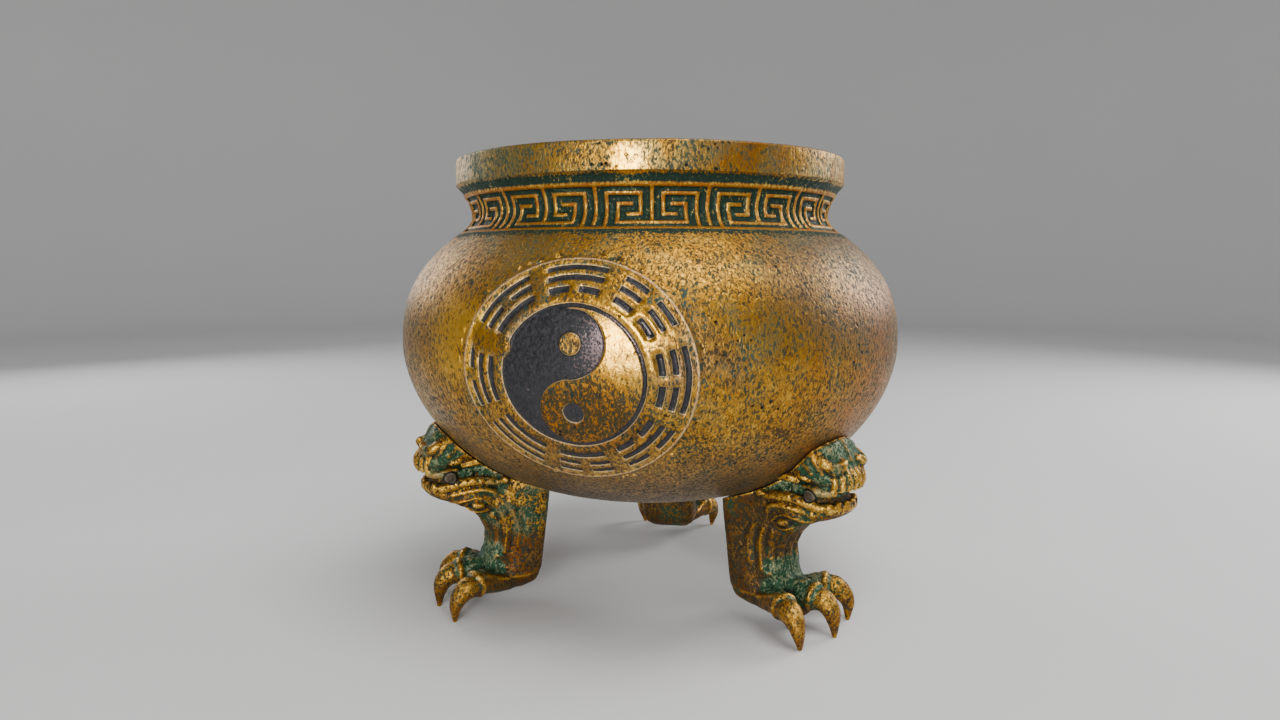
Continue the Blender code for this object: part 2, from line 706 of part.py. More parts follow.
def leg_forms():
    """All forms of a leg in one mesh, still overlapping, drawn from its back face."""
    shape = bmesh.new()
    level_loft(shape, BACK_SECTIONS, BACK_SQUARENESS)
    level_loft(shape, SHIN_SECTIONS, SHIN_SQUARENESS)
    upright_loft(shape, LOWER_JAW_SECTIONS, JAW_SQUARENESS)
    upright_loft(shape, HEAD_SECTIONS, HEAD_SQUARENESS)
    limb(shape, MIDDLE_TOE)
    for side in (-1.0, 1.0):
        limb(shape, aside(SIDE_TOE, side))
        for band in CARVED_BANDS:
            limb(shape, aside(band, side))
        for middle, half in (EYE, MOUTH_BEAD):
            ball(shape, aside([middle], side)[0], half)
        for middle in LOWER_TEETH:
            ball(shape, aside([middle], side)[0], (LOWER_TOOTH_RADIUS,) * 3)
        for number in range(LIP_TEETH):
            limb(shape, aside(lip_tooth(number), side))
    bmesh.ops.recalc_face_normals(shape, faces=shape.faces)
    mesh = bpy.data.meshes.new("leg_forms")
    shape.to_mesh(mesh)
    shape.free()
    return mesh


def leg_mesh(tools):
    """One leg as it stands at azimuth 90, fused, cut level at its claws and to the belly."""
    fused = as_cutter(new_object("leg_forms", leg_forms(), tools))
    grain = fused.modifiers.new("Fuse", "REMESH")
    grain.mode = "VOXEL"
    grain.voxel_size = LEG_GRAIN * MM
    smooth = fused.modifiers.new("Smooth", "SMOOTH")
    smooth.factor = LEG_SOFTENING
    smooth.iterations = LEG_SOFTENING_ROUNDS
    dense = evaluated_mesh(fused)
    count = sum(len(face.vertices) - 2 for face in dense.polygons)
    fused.modifiers.clear()
    fused.data = dense
    thin = fused.modifiers.new("Thin", "DECIMATE")
    thin.ratio = LEG_TRIANGLES / count

    seat = as_cutter(turned("leg_seat", seat_section(), SEAM_STEPS, tools))
    shape = bmesh.new()
    shape.from_mesh(evaluated_mesh(fused))
    size = CLEARANCE / LEG_DRAWN_CLEARANCE
    bmesh.ops.scale(shape, verts=shape.verts, vec=(size, size, size))
    bmesh.ops.translate(shape, verts=shape.verts, vec=(LEG_BACK_RADIUS * MM, 0.0, 0.0))
    every = [*shape.verts, *shape.edges, *shape.faces]
    cut = bmesh.ops.bisect_plane(shape, geom=every, plane_co=(0.0, 0.0, 0.0),
                                 plane_no=(0.0, 0.0, -1.0), clear_outer=True)["geom_cut"]
    rims = [item for item in cut if isinstance(item, bmesh.types.BMEdge)]
    bmesh.ops.holes_fill(shape, edges=rims)
    mesh = finish_shape(shape, "leg_uncut")
    uncut = as_cutter(new_object("leg_uncut", mesh, tools))
    combine(uncut, seat, "DIFFERENCE")
    leg = evaluated_mesh(uncut)
    leg.name = "leg"
    return leg


def seat_section():
    """The belly's outside with the seam's gap, from the neck's foot to the underside."""
    surface = belly_surface()
    points = [(0.0, BELLY_TOP)]
    for i in range(SEAM_ROWS):
        along = (i + 0.5) / SEAM_ROWS * surface.length[-1]
        point = surface.point(90.0, along, SEAM_GAP) / MM
        points.append((point.x, point.z))
    points.append((0.0, CLEARANCE - SEAM_GAP))
    return points


def make_legs(parts, tools):
    """Three copies of the leg round the bowl's axis."""
    mesh = leg_mesh(tools)
    legs = []
    for number, name in enumerate(("front_right_leg", "back_leg", "front_left_leg")):
        leg = new_object(name, mesh, parts)
        azimuth = FIRST_LEG_AZIMUTH + number * 360.0 / LEG_COUNT
        leg.rotation_euler.z = math.radians(azimuth - 90.0)
        legs.append(leg)
    return legs


def main():
    clear_scene()
    parts = new_collection("incense_burner")
    tools = new_collection("cutters")
    bowl = make_bowl(parts, tools)
    bowl.data.materials.append(bronze("gilt_bronze", *GILT_BRONZE))
    legs = make_legs(parts, tools)
    legs[0].data.materials.append(bronze("green_bronze", *GREEN_BRONZE))


main()
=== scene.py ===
"""Dresses a three-legged bronze incense burner: the bowl with its key fret and its trigram disc,
and three legs in the shape of beast heads over clawed feet.

Sizes are in millimetres and become metres when a piece is finished. +Z is up, the bowl's axis
is the Z axis, the middle of the disc faces -Y, and azimuths run from -Y towards +X.
"""
import logging
import math
from collections.abc import Callable, Iterable, Sequence
from dataclasses import dataclass, field
from enum import Enum

import bmesh
import bpy
import numpy as np
from mathutils import Matrix, Vector, noise


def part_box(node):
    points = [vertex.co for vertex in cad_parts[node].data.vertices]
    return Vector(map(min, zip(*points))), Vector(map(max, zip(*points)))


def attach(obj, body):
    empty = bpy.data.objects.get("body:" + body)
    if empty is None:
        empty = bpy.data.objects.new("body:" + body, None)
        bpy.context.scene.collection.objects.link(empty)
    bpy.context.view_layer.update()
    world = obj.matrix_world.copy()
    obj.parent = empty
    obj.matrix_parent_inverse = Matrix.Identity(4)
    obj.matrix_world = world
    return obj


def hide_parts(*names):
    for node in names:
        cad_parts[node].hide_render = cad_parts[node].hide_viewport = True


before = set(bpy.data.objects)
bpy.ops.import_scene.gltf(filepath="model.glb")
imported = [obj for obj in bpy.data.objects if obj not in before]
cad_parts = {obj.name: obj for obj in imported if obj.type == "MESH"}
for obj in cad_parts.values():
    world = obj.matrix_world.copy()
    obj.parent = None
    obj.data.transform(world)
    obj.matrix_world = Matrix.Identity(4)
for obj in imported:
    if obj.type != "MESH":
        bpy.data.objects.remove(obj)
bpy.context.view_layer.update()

MM = 0.001
SAME_POINT = 0.0005
log = logging.getLogger("incense_burner")

Array = np.ndarray
BMesh = bmesh.types.BMesh
Mesh = bpy.types.Mesh
Object = bpy.types.Object
Material = bpy.types.Material
Path = Sequence[tuple[float, ...]]


class Mask(Enum):
    """Vertex attributes that tell a finish where the metal is bright, green or black, and where it
    gets painted highlight and painted shade.
    """

    RAISED = "raised"
    GREEN = "green"
    SUNK = "sunk"
    CRUST = "crust"
    RIDGE = "ridge"
    GOLD = "gold"
    DARK = "dark"


class Laid(Enum):
    """How a stroke lies on a leg: where it is in space, or seen straight from a side."""

    IN_SPACE = (1.0, 1.0, 1.0)
    FROM_SIDE = (1.0, 0.0, 1.0)
    FROM_FRONT = (0.0, 1.0, 1.0)


class Bar(Enum):
    """The two bars that trigrams are made of."""

    WHOLE = "whole"
    BROKEN = "broken"


def smoothstep(low: float, high: float, value: Array | float) -> Array:
    """A soft step of value from 0 at low to 1 at high, which may be the lower one."""
    share = np.clip((np.asarray(value, dtype=float) - low) / (high - low), 0.0, 1.0)
    return share * share * (3.0 - 2.0 * share)


def rough(points: Array, wave: float, seed: float = 0.0) -> Array:
    """Smooth noise from about -1 to 1 at each point.

    Args:
        points: One row of three coordinates for each point, in millimetres.
        wave: How far apart the noise's bumps are, in millimetres.
        seed: A shift that gives another pattern of the same kind.

    Returns:
        One value for each point.
    """
    shift = Vector((seed * 7.3, seed * 3.1, seed * 5.7))
    return np.array([noise.noise(Vector(point) / wave + shift) for point in points])


def linked(name: str, data: bpy.types.ID) -> Object:
    """A new object in the scene, at the origin."""
    item = bpy.data.objects.new(name, data)
    bpy.context.scene.collection.objects.link(item)
    return item


def finished(name: str, shape: BMesh) -> Object:
    """Turn a bmesh in metres into a smooth-shaded object at the origin, and free the bmesh."""
    mesh = bpy.data.meshes.new(name)
    shape.to_mesh(mesh)
    shape.free()
    mesh.shade_smooth()
    return linked(name, mesh)


def evaluated(holder: Object) -> Mesh:
    """The mesh that an object's modifiers or bevel give. The object itself is removed."""
    bpy.context.view_layer.update()
    mesh = bpy.data.meshes.new_from_object(
        holder.evaluated_get(bpy.context.evaluated_depsgraph_get()))
    bpy.data.objects.remove(holder)
    return mesh


def spun(shape: BMesh, points: Iterable[Sequence[float]], steps: int,
         turn: float = 2.0 * math.pi) -> list[bmesh.types.BMVert]:
    """Spin a line of points round the Z axis.

    Args:
        shape: Takes the turned form.
        points: The line's points.
        steps: How many sides the turned form has.
        turn: Radians to turn, below 0 for clockwise.

    Returns:
        The vertices of the turned form.
    """
    before = set(shape.verts)
    line = [shape.verts.new(point) for point in points]
    edges = [shape.edges.new(pair) for pair in zip(line, line[1:])]
    bmesh.ops.spin(shape, geom=[*line, *edges], axis=(0.0, 0.0, 1.0), cent=(0.0, 0.0, 0.0),
                   angle=turn, steps=steps, use_merge=True, use_duplicate=False)
    return [vert for vert in shape.verts if vert not in before]


def places(shape: BMesh) -> Array:
    """The places of all vertices, one row each."""
    return np.array([vert.co[:] for vert in shape.verts])


def set_places(shape: BMesh, points: Array) -> None:
    """Move every vertex to its row of points."""
    for vert, point in zip(shape.verts, points.tolist()):
        vert.co = point


def set_mask(shape: BMesh, mask: Mask, values: Array) -> None:
    """Store one value per vertex under the mask's name."""
    layer = shape.verts.layers.float.get(mask.value) or shape.verts.layers.float.new(mask.value)
    for vert, value in zip(shape.verts, values.tolist()):
        vert[layer] = value


# The bowl


@dataclass
class BowlSizes:
    """Sizes of the bowl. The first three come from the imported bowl's box."""

    underside: float
    rim_top: float
    belly_radius: float
    lower_belly: float = 71.0
    upper_belly: float = 49.4
    neck_height: float = 17.6
    rim_undercut: float = 4.0
    belly_bulge: float = 25.0
    shoulder_step: float = 1.7
    neck_foot_inset: float = 1.4
    neck_waist_inset: float = 7.6
    neck_head_inset: float = 4.2
    neck_waist_share: float = 0.52
    mouth_radius: float = 78.5
    rim_edge: float = 1.3
    wall: float = 5.0
    floor_flat_radius: float = 22.0
    underside_cap: float = 12.0
    upper_powers: tuple[float, float] = (1.2, 2.6)
    lower_powers: tuple[float, float] = (2.77, 1.74)
    curve_points: int = 200

    @classmethod
    def from_frame(cls) -> "BowlSizes":
        """Read the bowl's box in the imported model."""
        low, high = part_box("bowl")
        return cls(low.z / MM, high.z / MM, high.x / MM)

    @property
    def widest(self) -> float:
        """Height of the belly's widest line."""
        return self.underside + self.lower_belly

    @property
    def belly_top(self) -> float:
        """Height of the foot of the neck."""
        return self.widest + self.upper_belly

    @property
    def neck_top(self) -> float:
        """Height of the neck's top rail."""
        return self.belly_top + self.neck_height

    @property
    def shoulder_radius(self) -> float:
        """Radius where the belly starts, under the neck."""
        return self.belly_radius - self.belly_bulge

    @property
    def neck_foot(self) -> float:
        """Radius of the foot of the neck."""
        return self.shoulder_radius - self.shoulder_step

    @property
    def rim_radius(self) -> float:
        """Outer radius of the rim."""
        return self.neck_foot + self.neck_foot_inset

    def belly(self, upper: bool) -> Array:
        """Points from the widest line up to the shoulder, or down to the underside."""
        across, along = self.upper_powers if upper else self.lower_powers
        reach = -self.lower_belly
        last = math.pi / 2.0
        if upper:
            start = self.shoulder_radius / self.belly_radius
            reach = self.upper_belly / (1.0 - start**across) ** (1.0 / along)
            last = math.asin((self.upper_belly / reach) ** (along / 2.0))
        turn = np.linspace(0.0, last, self.curve_points)
        radius = self.belly_radius * np.maximum(np.cos(turn), 0.0) ** (2.0 / across)
        return np.column_stack([radius, self.widest + reach * np.sin(turn) ** (2.0 / along)])

    def neck(self) -> Array:
        """Points of the neck's hollow from its top down to its foot."""
        share = np.linspace(0.0, 1.0, self.curve_points)
        waist = self.neck_waist_share
        deepest = self.rim_radius - self.neck_waist_inset
        reach = np.where(share < waist, self.rim_radius - self.neck_head_inset, self.neck_foot)
        depth = (share - waist) / np.where(share < waist, waist, 1.0 - waist)
        radius = deepest + (reach - deepest) * depth**2
        return np.column_stack([radius, self.neck_top - share * self.neck_height])

    def rim(self) -> Array:
        """Points from inside the mouth over the rim's rounded edges to the neck's top."""
        inner, outer, edge = self.mouth_radius, self.rim_radius, self.rim_edge
        low = self.neck_top + self.rim_undercut
        corners = [(inner + edge, self.rim_top - edge, 180.0, 90.0, edge),
                   (outer - edge, self.rim_top - edge, 90.0, 0.0, edge),
                   (outer - edge / 2.0, low + edge / 2.0, 0.0, -60.0, edge / 2.0)]
        points = []
        for middle, height, start, end, radius in corners:
            for turn in np.radians(np.linspace(start, end, 5)):
                points.append((middle + radius * math.cos(turn), height + radius * math.sin(turn)))
        return np.array(points)


class Section:
    """A turned outline that is walked by its own length."""

    slope_reach = 0.4

    def __init__(self, outline: Array) -> None:
        """Keep the outline and the length walked at each of its points."""
        self.outline = outline
        steps = np.hypot(*np.diff(outline, axis=0).T)
        self.walked = np.concatenate([[0.0], np.cumsum(steps)])

    @property
    def length(self) -> float:
        """Length of the whole outline."""
        return float(self.walked[-1])

    def at(self, along: Array | float) -> tuple[Array, Array]:
        """Radius and height at these lengths."""
        return (np.interp(along, self.walked, self.outline[:, 0]),
                np.interp(along, self.walked, self.outline[:, 1]))

    def lifted(self, along: Array, lift: Array) -> tuple[Array, Array]:
        """Radius and height of points that stand off the outline by lift."""
        before, after = self.at(along - self.slope_reach), self.at(along + self.slope_reach)
        across, fall = after[0] - before[0], after[1] - before[1]
        size = np.maximum(np.hypot(across, fall), 1e-9)
        radius, height = self.at(along)
        return radius - fall / size * lift, height + across / size * lift

    def wrapped(self, azimuth: Array, along: Array, lift: Array) -> Array:
        """Points of the turned surface, in metres.

        Args:
            azimuth: Radians from -Y towards +X.
            along: Length walked down the outline.
            lift: How far the point stands off the surface.

        Returns:
            One row for each point.
        """
        radius, height = self.lifted(along, lift)
        return np.column_stack([radius * np.sin(azimuth), -radius * np.cos(azimuth), height]) * MM


@dataclass
class KeyFret:
    """The key fret on the neck: mirrored pairs of square spirals between two rails."""

    pairs: int = 12
    columns: int = 10
    rows: int = 5
    half_stroke: float = 0.6
    foot: float = 0.95
    relief: float = 0.85
    rail: float = 1.2
    rail_slope: float = 0.35
    wobble: float = 0.13
    wobble_wave: float = 4.0
    half_pair: tuple[Path, ...] = (
        ((4.0, 5.0), (4.0, 1.0), (1.0, 1.0), (1.0, 3.0), (2.05, 3.0)),
        ((0.0, 4.0), (3.0, 4.0), (3.0, 2.0), (1.9, 2.0)),
        ((5.0, 0.0), (5.0, 4.15)),
        ((0.0, 0.0), (0.0, 4.0)),
    )

    @property
    def step(self) -> float:
        """Degrees between two columns."""
        return 360.0 / self.pairs / self.columns

    def column_lines(self, radius: float) -> Array:
        """Degrees from a column's middle to the mesh lines that draw its strokes."""
        around = math.degrees(1.0 / radius)
        return np.array([-self.foot * around, -self.half_stroke * around,
                         self.half_stroke * around, self.foot * around, self.step / 2.0])

    def row_lines(self, height: float) -> Array:
        """Lengths down the neck at which the mesh has a line."""
        row = height / self.rows
        edge = self.rail + self.rail_slope
        lines = [0.0, self.rail, edge]
        for number in range(1, self.rows):
            middle = number * row
            lines += [middle - self.foot, middle - self.half_stroke,
                      middle + self.half_stroke, middle + self.foot]
            if number < self.rows - 1:
                lines.append(middle + row / 2.0)
        return np.array([*lines, height - edge, height - self.rail, height])

    def raised(self, azimuth: Array, along: Array, height: float,
               radius: float) -> Array:
        """How far each point is up on a stroke or a rail, from 0 to 1.

        Args:
            azimuth: Degrees.
            along: Length down the neck from its top.
            height: Length of the whole neck.
            radius: The neck's radius.

        Returns:
            One value for each point.
        """
        pitch = self.step * self.columns
        across = np.abs((azimuth + 360.0) % pitch - pitch / 2.0)
        wide = math.radians(1.0) * radius
        row = height / self.rows
        nearest = np.full(len(azimuth), 1e9)
        for path in self.half_pair:
            for (x0, y0), (x1, y1) in zip(path, path[1:]):
                beside = np.maximum.reduce([
                    (min(x0, x1) * self.step - across) * wide,
                    (across - max(x0, x1) * self.step) * wide,
                    min(y0, y1) * row - along,
                    along - max(y0, y1) * row,
                ])
                nearest = np.minimum(nearest, np.maximum(beside, 0.0))
        strokes = 1.0 - smoothstep(self.half_stroke, self.foot, nearest)
        edge = np.minimum(along, height - along)
        rails = 1.0 - smoothstep(self.rail, self.rail + self.rail_slope, edge)
        return np.maximum(strokes, rails) * (along >= -0.01) * (along <= height + 0.01)


@dataclass
class TrigramDisc:
    """The disc on the belly: eight trigrams sunk round a two-part whirl, inside a raised line."""

    radius: float = 47.2
    drop: float = 5.0
    line_width: float = 0.9
    line_relief: float = 0.4
    depth: float = 1.0
    bar_shares: tuple[float, ...] = (0.715, 0.82, 0.915)
    bar_halves: tuple[float, ...] = (1.35, 1.2, 1.15)
    span: float = 34.5
    gap: float = 6.6
    slope: float = 0.28
    whirl: float = 28.3
    border: float = 2.0
    dot: float = 4.1
    dot_relief: float = 0.15
    dot_steps: int = 36
    seam_inside: float = 0.7
    seam_outside: float = 4.0
    whirl_rings: int = 40
    widest_wall: float = 10.0
    margin: float = 2.0
    wobble: float = 0.16
    wobble_wave: float = 3.2
    crust_rag: float = 0.25
    crust_wave: float = 2.2
    crust_start: float = 0.75
    crust_grain: float = 0.2
    # Clockwise from the top, seen from outside: inner, middle and outer bar
    trigrams: tuple[tuple[Bar, Bar, Bar], ...] = (
        (Bar.BROKEN, Bar.WHOLE, Bar.WHOLE),
        (Bar.BROKEN, Bar.BROKEN, Bar.BROKEN),
        (Bar.BROKEN, Bar.BROKEN, Bar.WHOLE),
        (Bar.BROKEN, Bar.WHOLE, Bar.BROKEN),
        (Bar.WHOLE, Bar.BROKEN, Bar.BROKEN),
        (Bar.WHOLE, Bar.WHOLE, Bar.WHOLE),
        (Bar.WHOLE, Bar.WHOLE, Bar.BROKEN),
        (Bar.WHOLE, Bar.BROKEN, Bar.WHOLE),
    )
    # Lumps of old casting skin that fill the carving: right, up, half width, half height, lift
    crusts: tuple[tuple[float, float, float, float, float], ...] = (
        (-36.0, 13.2, 7.6, 4.8, 0.45),
        (-29.6, 11.6, 5.6, 4.6, 0.55),
        (-24.6, 28.2, 1.4, 1.6, 0.10),
    )

    @property
    def pitch(self) -> float:
        """Degrees from one trigram to the next."""
        return 360.0 / len(self.trigrams)

    @property
    def light(self) -> float:
        """Radius of the whirl's light half."""
        return self.whirl - self.border

    @property
    def reach(self) -> float:
        """Radius of the round patch that holds the disc."""
        return self.radius + self.margin

    def bar_radii(self, number: int) -> list[float]:
        """Rings of one bar: outside, floor, middle, floor, outside."""
        middle, half = self.bar_shares[number] * self.radius, self.bar_halves[number]
        return [middle - half - self.slope, middle - half + self.slope, middle,
                middle + half - self.slope, middle + half + self.slope]

    def turns(self) -> Array:
        """Degrees of the mesh lines round the trigrams, clockwise from the top."""
        gap, end, slope = self.gap / 2.0, self.span / 2.0, self.slope * 1.5
        half = [0.0, gap - slope, gap + slope,
                *np.linspace(gap + slope, end - slope, 6)[1:], end + slope]
        rest = [self.pitch - turn for turn in reversed(half[1:])]
        between = np.linspace(half[-1], rest[0], 4)[1:-1]
        one = np.array([*half, *between, *rest])
        return np.concatenate([one + number * self.pitch for number in range(len(self.trigrams))])

    def sunk_bar(self, ring: float, turn: float) -> bool:
        """Whether the floor of a bar is at this radius and this turn."""
        number = int(round(turn / self.pitch)) % len(self.trigrams)
        beside = abs((turn + self.pitch / 2.0) % self.pitch - self.pitch / 2.0)
        for order, bar in enumerate(self.trigrams[number]):
            floor = self.bar_radii(order)[1:4]
            on_floor = floor[0] - 0.01 < ring < floor[2] + 0.01
            start = self.gap / 2.0 + self.slope if bar is Bar.BROKEN else -1.0
            if on_floor and start < beside < self.span / 2.0:
                return True
        return False

    def rings(self) -> list[float]:
        """Radii of the patch's rings, from its middle outwards."""
        lean = np.radians(np.linspace(90.0, 0.0, self.whirl_rings + 1))
        inner = [self.light * max(math.cos(turn), 0.0) for turn in lean]
        rings = [*inner, self.light + 0.4, (self.light + self.whirl) / 2.0,
                 self.whirl - self.slope, self.whirl + self.slope]
        bars = [self.bar_radii(number) for number in range(len(self.bar_shares))]
        rings.append((rings[-1] + bars[0][0]) / 2.0)
        for number, bar in enumerate(bars):
            if number:
                rings.append((bars[number - 1][-1] + bar[0]) / 2.0)
            rings += bar
        line = self.radius - self.line_width
        return [*rings, line - 0.2, line + 0.2, self.radius - 0.2, self.radius + 0.2, self.reach]

    def whirl_turn(self, ring: float, number: int, count: int) -> float:
        """Degrees, clockwise from the top, of a mesh line on a ring of the whirl.

        The lines lean over with the curve between the two halves, so that this curve is
        itself a line of the mesh.
        """
        share = min(ring / self.light, 1.0)
        lean = math.degrees(math.acos(share))
        half = count // 2
        if number <= half:
            return lean + 180.0 * number / half
        slant = ring * math.sin(math.radians(lean))
        wall = min(math.degrees(2.0 * self.slope / max(slant, 0.01)), self.widest_wall)
        part = (number - half - 1) / (half - 2)
        return lean + 180.0 + wall + part * (180.0 - 2.0 * wall)

    def place(self, ring: float, number: int, turns: Array) -> tuple[float, float, float]:
        """Place of a vertex of the patch: right, up and lift."""
        count = len(turns)
        turn, lift = float(turns[number]), 0.0
        if ring < self.whirl - self.slope + 0.01:
            is_light = ring <= self.light + 0.01 and number <= count // 2
            lift = 0.0 if is_light else -self.depth
        elif self.sunk_bar(ring, turn):
            lift = -self.depth
        elif self.radius - self.line_width < ring < self.radius:
            lift = self.line_relief
        mix = float(smoothstep(self.light, self.whirl + self.slope, ring))
        twisted = self.whirl_turn(ring, number, count)
        turn = math.radians(twisted + (turn - twisted) * mix)
        return ring * math.sin(turn), ring * math.cos(turn), lift

    def patch(self, shape: BMesh, middle: Vector, radii: Sequence[float], steps: int,
              place: Callable[[int, int], tuple[float, float, float]]) -> None:
        """Add a round patch of rings to the shape.

        Args:
            shape: The flat sheet that takes the patch.
            middle: Where the patch's middle lies on the sheet.
            radii: Radii of the rings from the middle outwards; the first is 0.
            steps: Mesh lines round the patch.
            place: Gives right, up and lift for a ring's number and a line's number.
        """
        made = spun(shape, [(0.0, radius, 0.0) for radius in radii], steps, -2.0 * math.pi)
        known = np.array(radii)
        for vert in made:
            ring = int(np.argmin(np.abs(known - math.hypot(vert.co.x, vert.co.y))))
            turn = math.atan2(vert.co.x, vert.co.y) / (2.0 * math.pi) * steps
            right, up, lift = place(ring, int(round(turn)) % steps)
            vert.co = (middle.x + right, middle.y + up, lift)
        bmesh.ops.remove_doubles(shape, verts=made, dist=SAME_POINT)

    def let_in(self, shape: BMesh, middle: Vector, radii: Sequence[float], steps: int,
               place: Callable[[int, int], tuple[float, float, float]]) -> None:
        """Cut a round hole into the sheet, put a patch in it and close the seam round it."""
        spread = radii[-1] + self.seam_inside
        inside = [face for face in shape.faces
                  if (face.calc_center_median().xy - middle.xy).length < spread]
        bmesh.ops.delete(shape, geom=inside, context="FACES")
        self.patch(shape, middle, radii, steps, place)
        seam = [edge for edge in shape.edges if edge.is_boundary
                and all((vert.co.xy - middle.xy).length < spread + self.seam_outside
                        for vert in edge.verts)]
        bmesh.ops.triangle_fill(shape, edges=seam, use_beauty=True, normal=(0.0, 0.0, 1.0))

    def carve(self, shape: BMesh, middle: Vector) -> None:
        """Put the whole disc into the flat sheet, with its middle at this place."""
        turns = self.turns()
        rings = self.rings()
        self.let_in(shape, middle, rings, len(turns),
                    lambda ring, number: self.place(rings[ring], number, turns))
        edge = self.dot
        radii = [0.0, edge * 0.5, edge * 0.8, edge - self.slope, edge + self.slope, edge + 0.9]
        for side, floor, top in ((1.0, -self.depth, self.dot_relief), (-1.0, 0.0, -self.depth)):
            spot = middle + Vector((0.0, side * self.light / 2.0, 0.0))

            def dot_place(ring: int, number: int) -> tuple[float, float, float]:
                """Place of a vertex of the dot's patch."""
                turn = 2.0 * math.pi * number / self.dot_steps
                lift = top if radii[ring] < edge else floor
                return radii[ring] * math.sin(turn), radii[ring] * math.cos(turn), lift

            self.let_in(shape, spot, radii, self.dot_steps, dot_place)


@dataclass
class Bowl:
    """The bowl: one casting with its fret and disc, hollow and open."""

    sizes: BowlSizes
    fret: KeyFret = field(default_factory=KeyFret)
    disc: TrigramDisc = field(default_factory=TrigramDisc)
    even_lines: tuple[float, ...] = (-0.9, -0.3, 0.3, 0.9, 1.5)
    run_out: float = 8.0
    belly_row: float = 2.15
    rim_row: float = 2.6
    inner_steps: int = 120
    inner_rows: int = 34
    cap_steps: int = 60
    inner_stretch: tuple[float, float] = (0.06, 0.99)
    floor_margin: float = 1.1
    mouth_start: float = 3.0
    mouth_end: float = 1.2
    mouth_rows: int = 8
    lip: tuple[float, float] = (0.5, 0.4)
    loop_slack: float = 0.8
    floor_cap: float = 0.6
    under_cap: float = 0.7
    swell: float = 0.22
    ripple: float = 0.07
    swell_wave: float = 24.0
    ripple_wave: float = 5.0
    inset: float = 0.06
    green_over: float = 5.8
    green_under: float = 1.0

    def __post_init__(self) -> None:
        """Join the outline's parts and keep where each of them starts."""
        rim, neck = self.sizes.rim(), self.sizes.neck()
        belly = np.vstack([self.sizes.belly(True)[::-1], self.sizes.belly(False)[1:]])
        self.section = Section(np.vstack([rim, neck, belly]))
        walked = self.section.walked
        self.neck_start = float(walked[len(rim)])
        self.neck_end = float(walked[len(rim) + len(neck) - 1])
        self.belly_start = float(walked[len(rim) + len(neck)])
        self.widest = float(walked[len(rim) + len(neck) + self.sizes.curve_points - 1])
        self.rim_points = walked[:len(rim)]

    @property
    def belly(self) -> Section:
        """The belly's part of the outline, from the shoulder down to the underside."""
        return Section(self.section.outline[-2 * self.sizes.curve_points + 1:])

    @property
    def neck_length(self) -> float:
        """Length of the neck's outline."""
        return self.neck_end - self.neck_start

    @property
    def neck_radius(self) -> float:
        """The neck's radius at its waist."""
        return self.sizes.rim_radius - self.sizes.neck_waist_inset

    def rows(self) -> Array:
        """Lengths along the outline at which the sheet has a line."""
        rim = [0.0]
        for start, end in zip(self.rim_points, [*self.rim_points[1:], self.neck_start]):
            count = max(1, math.ceil((end - start) / self.rim_row))
            rim += list(np.linspace(start, end, count + 1)[1:])
        neck = self.neck_start + self.fret.row_lines(self.neck_length)
        radius = self.section.outline[:, 0]
        last = float(np.interp(-self.sizes.underside_cap, -radius[-self.sizes.curve_points:],
                               self.section.walked[-self.sizes.curve_points:]))
        count = math.ceil((last - self.belly_start) / self.belly_row)
        belly = np.linspace(self.belly_start, last, count + 1)
        return np.concatenate([rim[:-1], neck, belly])

    def columns(self) -> tuple[Array, Array]:
        """Degrees of the sheet's columns: evenly spaced, and set to the fret's strokes."""
        starts = -180.0 + np.arange(self.fret.pairs * self.fret.columns) * self.fret.step
        even = (starts[:, None] + np.array(self.even_lines)).ravel()
        drawn = (starts[:, None] + self.fret.column_lines(self.neck_radius)).ravel()
        return np.append(even, even[0] + 360.0), np.append(drawn, drawn[0] + 360.0)

    def unrolled(self) -> BMesh:
        """The outside as a flat grid, with its lines where the fret needs them."""
        rows, (even, drawn) = self.rows(), self.columns()
        shape = bmesh.new()
        bmesh.ops.create_grid(shape, x_segments=len(even) - 1, y_segments=len(rows) - 1, size=1.0)
        grid = places(shape)
        column = np.rint((grid[:, 0] + 1.0) / 2.0 * (len(even) - 1)).astype(int)
        along = rows[np.rint((grid[:, 1] + 1.0) / 2.0 * (len(rows) - 1)).astype(int)]
        over = smoothstep(self.neck_start - self.sizes.rim_undercut, self.neck_start, along)
        under = 1.0 - smoothstep(self.neck_end, self.neck_end + self.run_out, along)
        azimuth = even[column] + (drawn[column] - even[column]) * np.minimum(over, under)
        across = np.radians(azimuth) * self.sizes.belly_radius
        set_places(shape, np.column_stack([across, -along, np.zeros(len(grid))]))
        return shape

    def rub(self, shape: BMesh) -> None:
        """Fill the carving under its crusts and make the carved lines a little unsteady."""
        points = places(shape)
        middle = np.array([0.0, -(self.widest + self.disc.drop)])
        right, up = (points[:, :2] - middle).T
        spread = np.hypot(right, up)
        crust = np.zeros(len(points))
        for x, y, wide, high, lift in self.disc.crusts:
            ragged = self.disc.crust_rag * rough(points, self.disc.crust_wave, 4.0)
            share = np.hypot((right - x) / wide, (up - y) / high)
            cover = 1.0 - smoothstep(self.disc.crust_start, 1.0, share + ragged)
            points[:, 2] += (lift + self.disc.crust_grain * ragged - points[:, 2]) * cover
            crust = np.maximum(crust, cover)
        sunk = smoothstep(0.0, self.disc.depth, -points[:, 2]) * (spread < self.disc.reach)
        line = smoothstep(0.0, self.disc.line_relief, points[:, 2]) * (spread < self.disc.reach)
        in_disc = (spread > self.disc.dot) * (spread < self.disc.radius + 0.5)
        shake = self.disc.wobble * in_disc
        points[:, 0] += shake * rough(points, self.disc.wobble_wave, 1.0)
        points[:, 1] += shake * rough(points, self.disc.wobble_wave, 2.0)
        set_places(shape, points)
        set_mask(shape, Mask.SUNK, sunk)
        set_mask(shape, Mask.CRUST, crust)
        set_mask(shape, Mask.RAISED, line * (1.0 - crust))

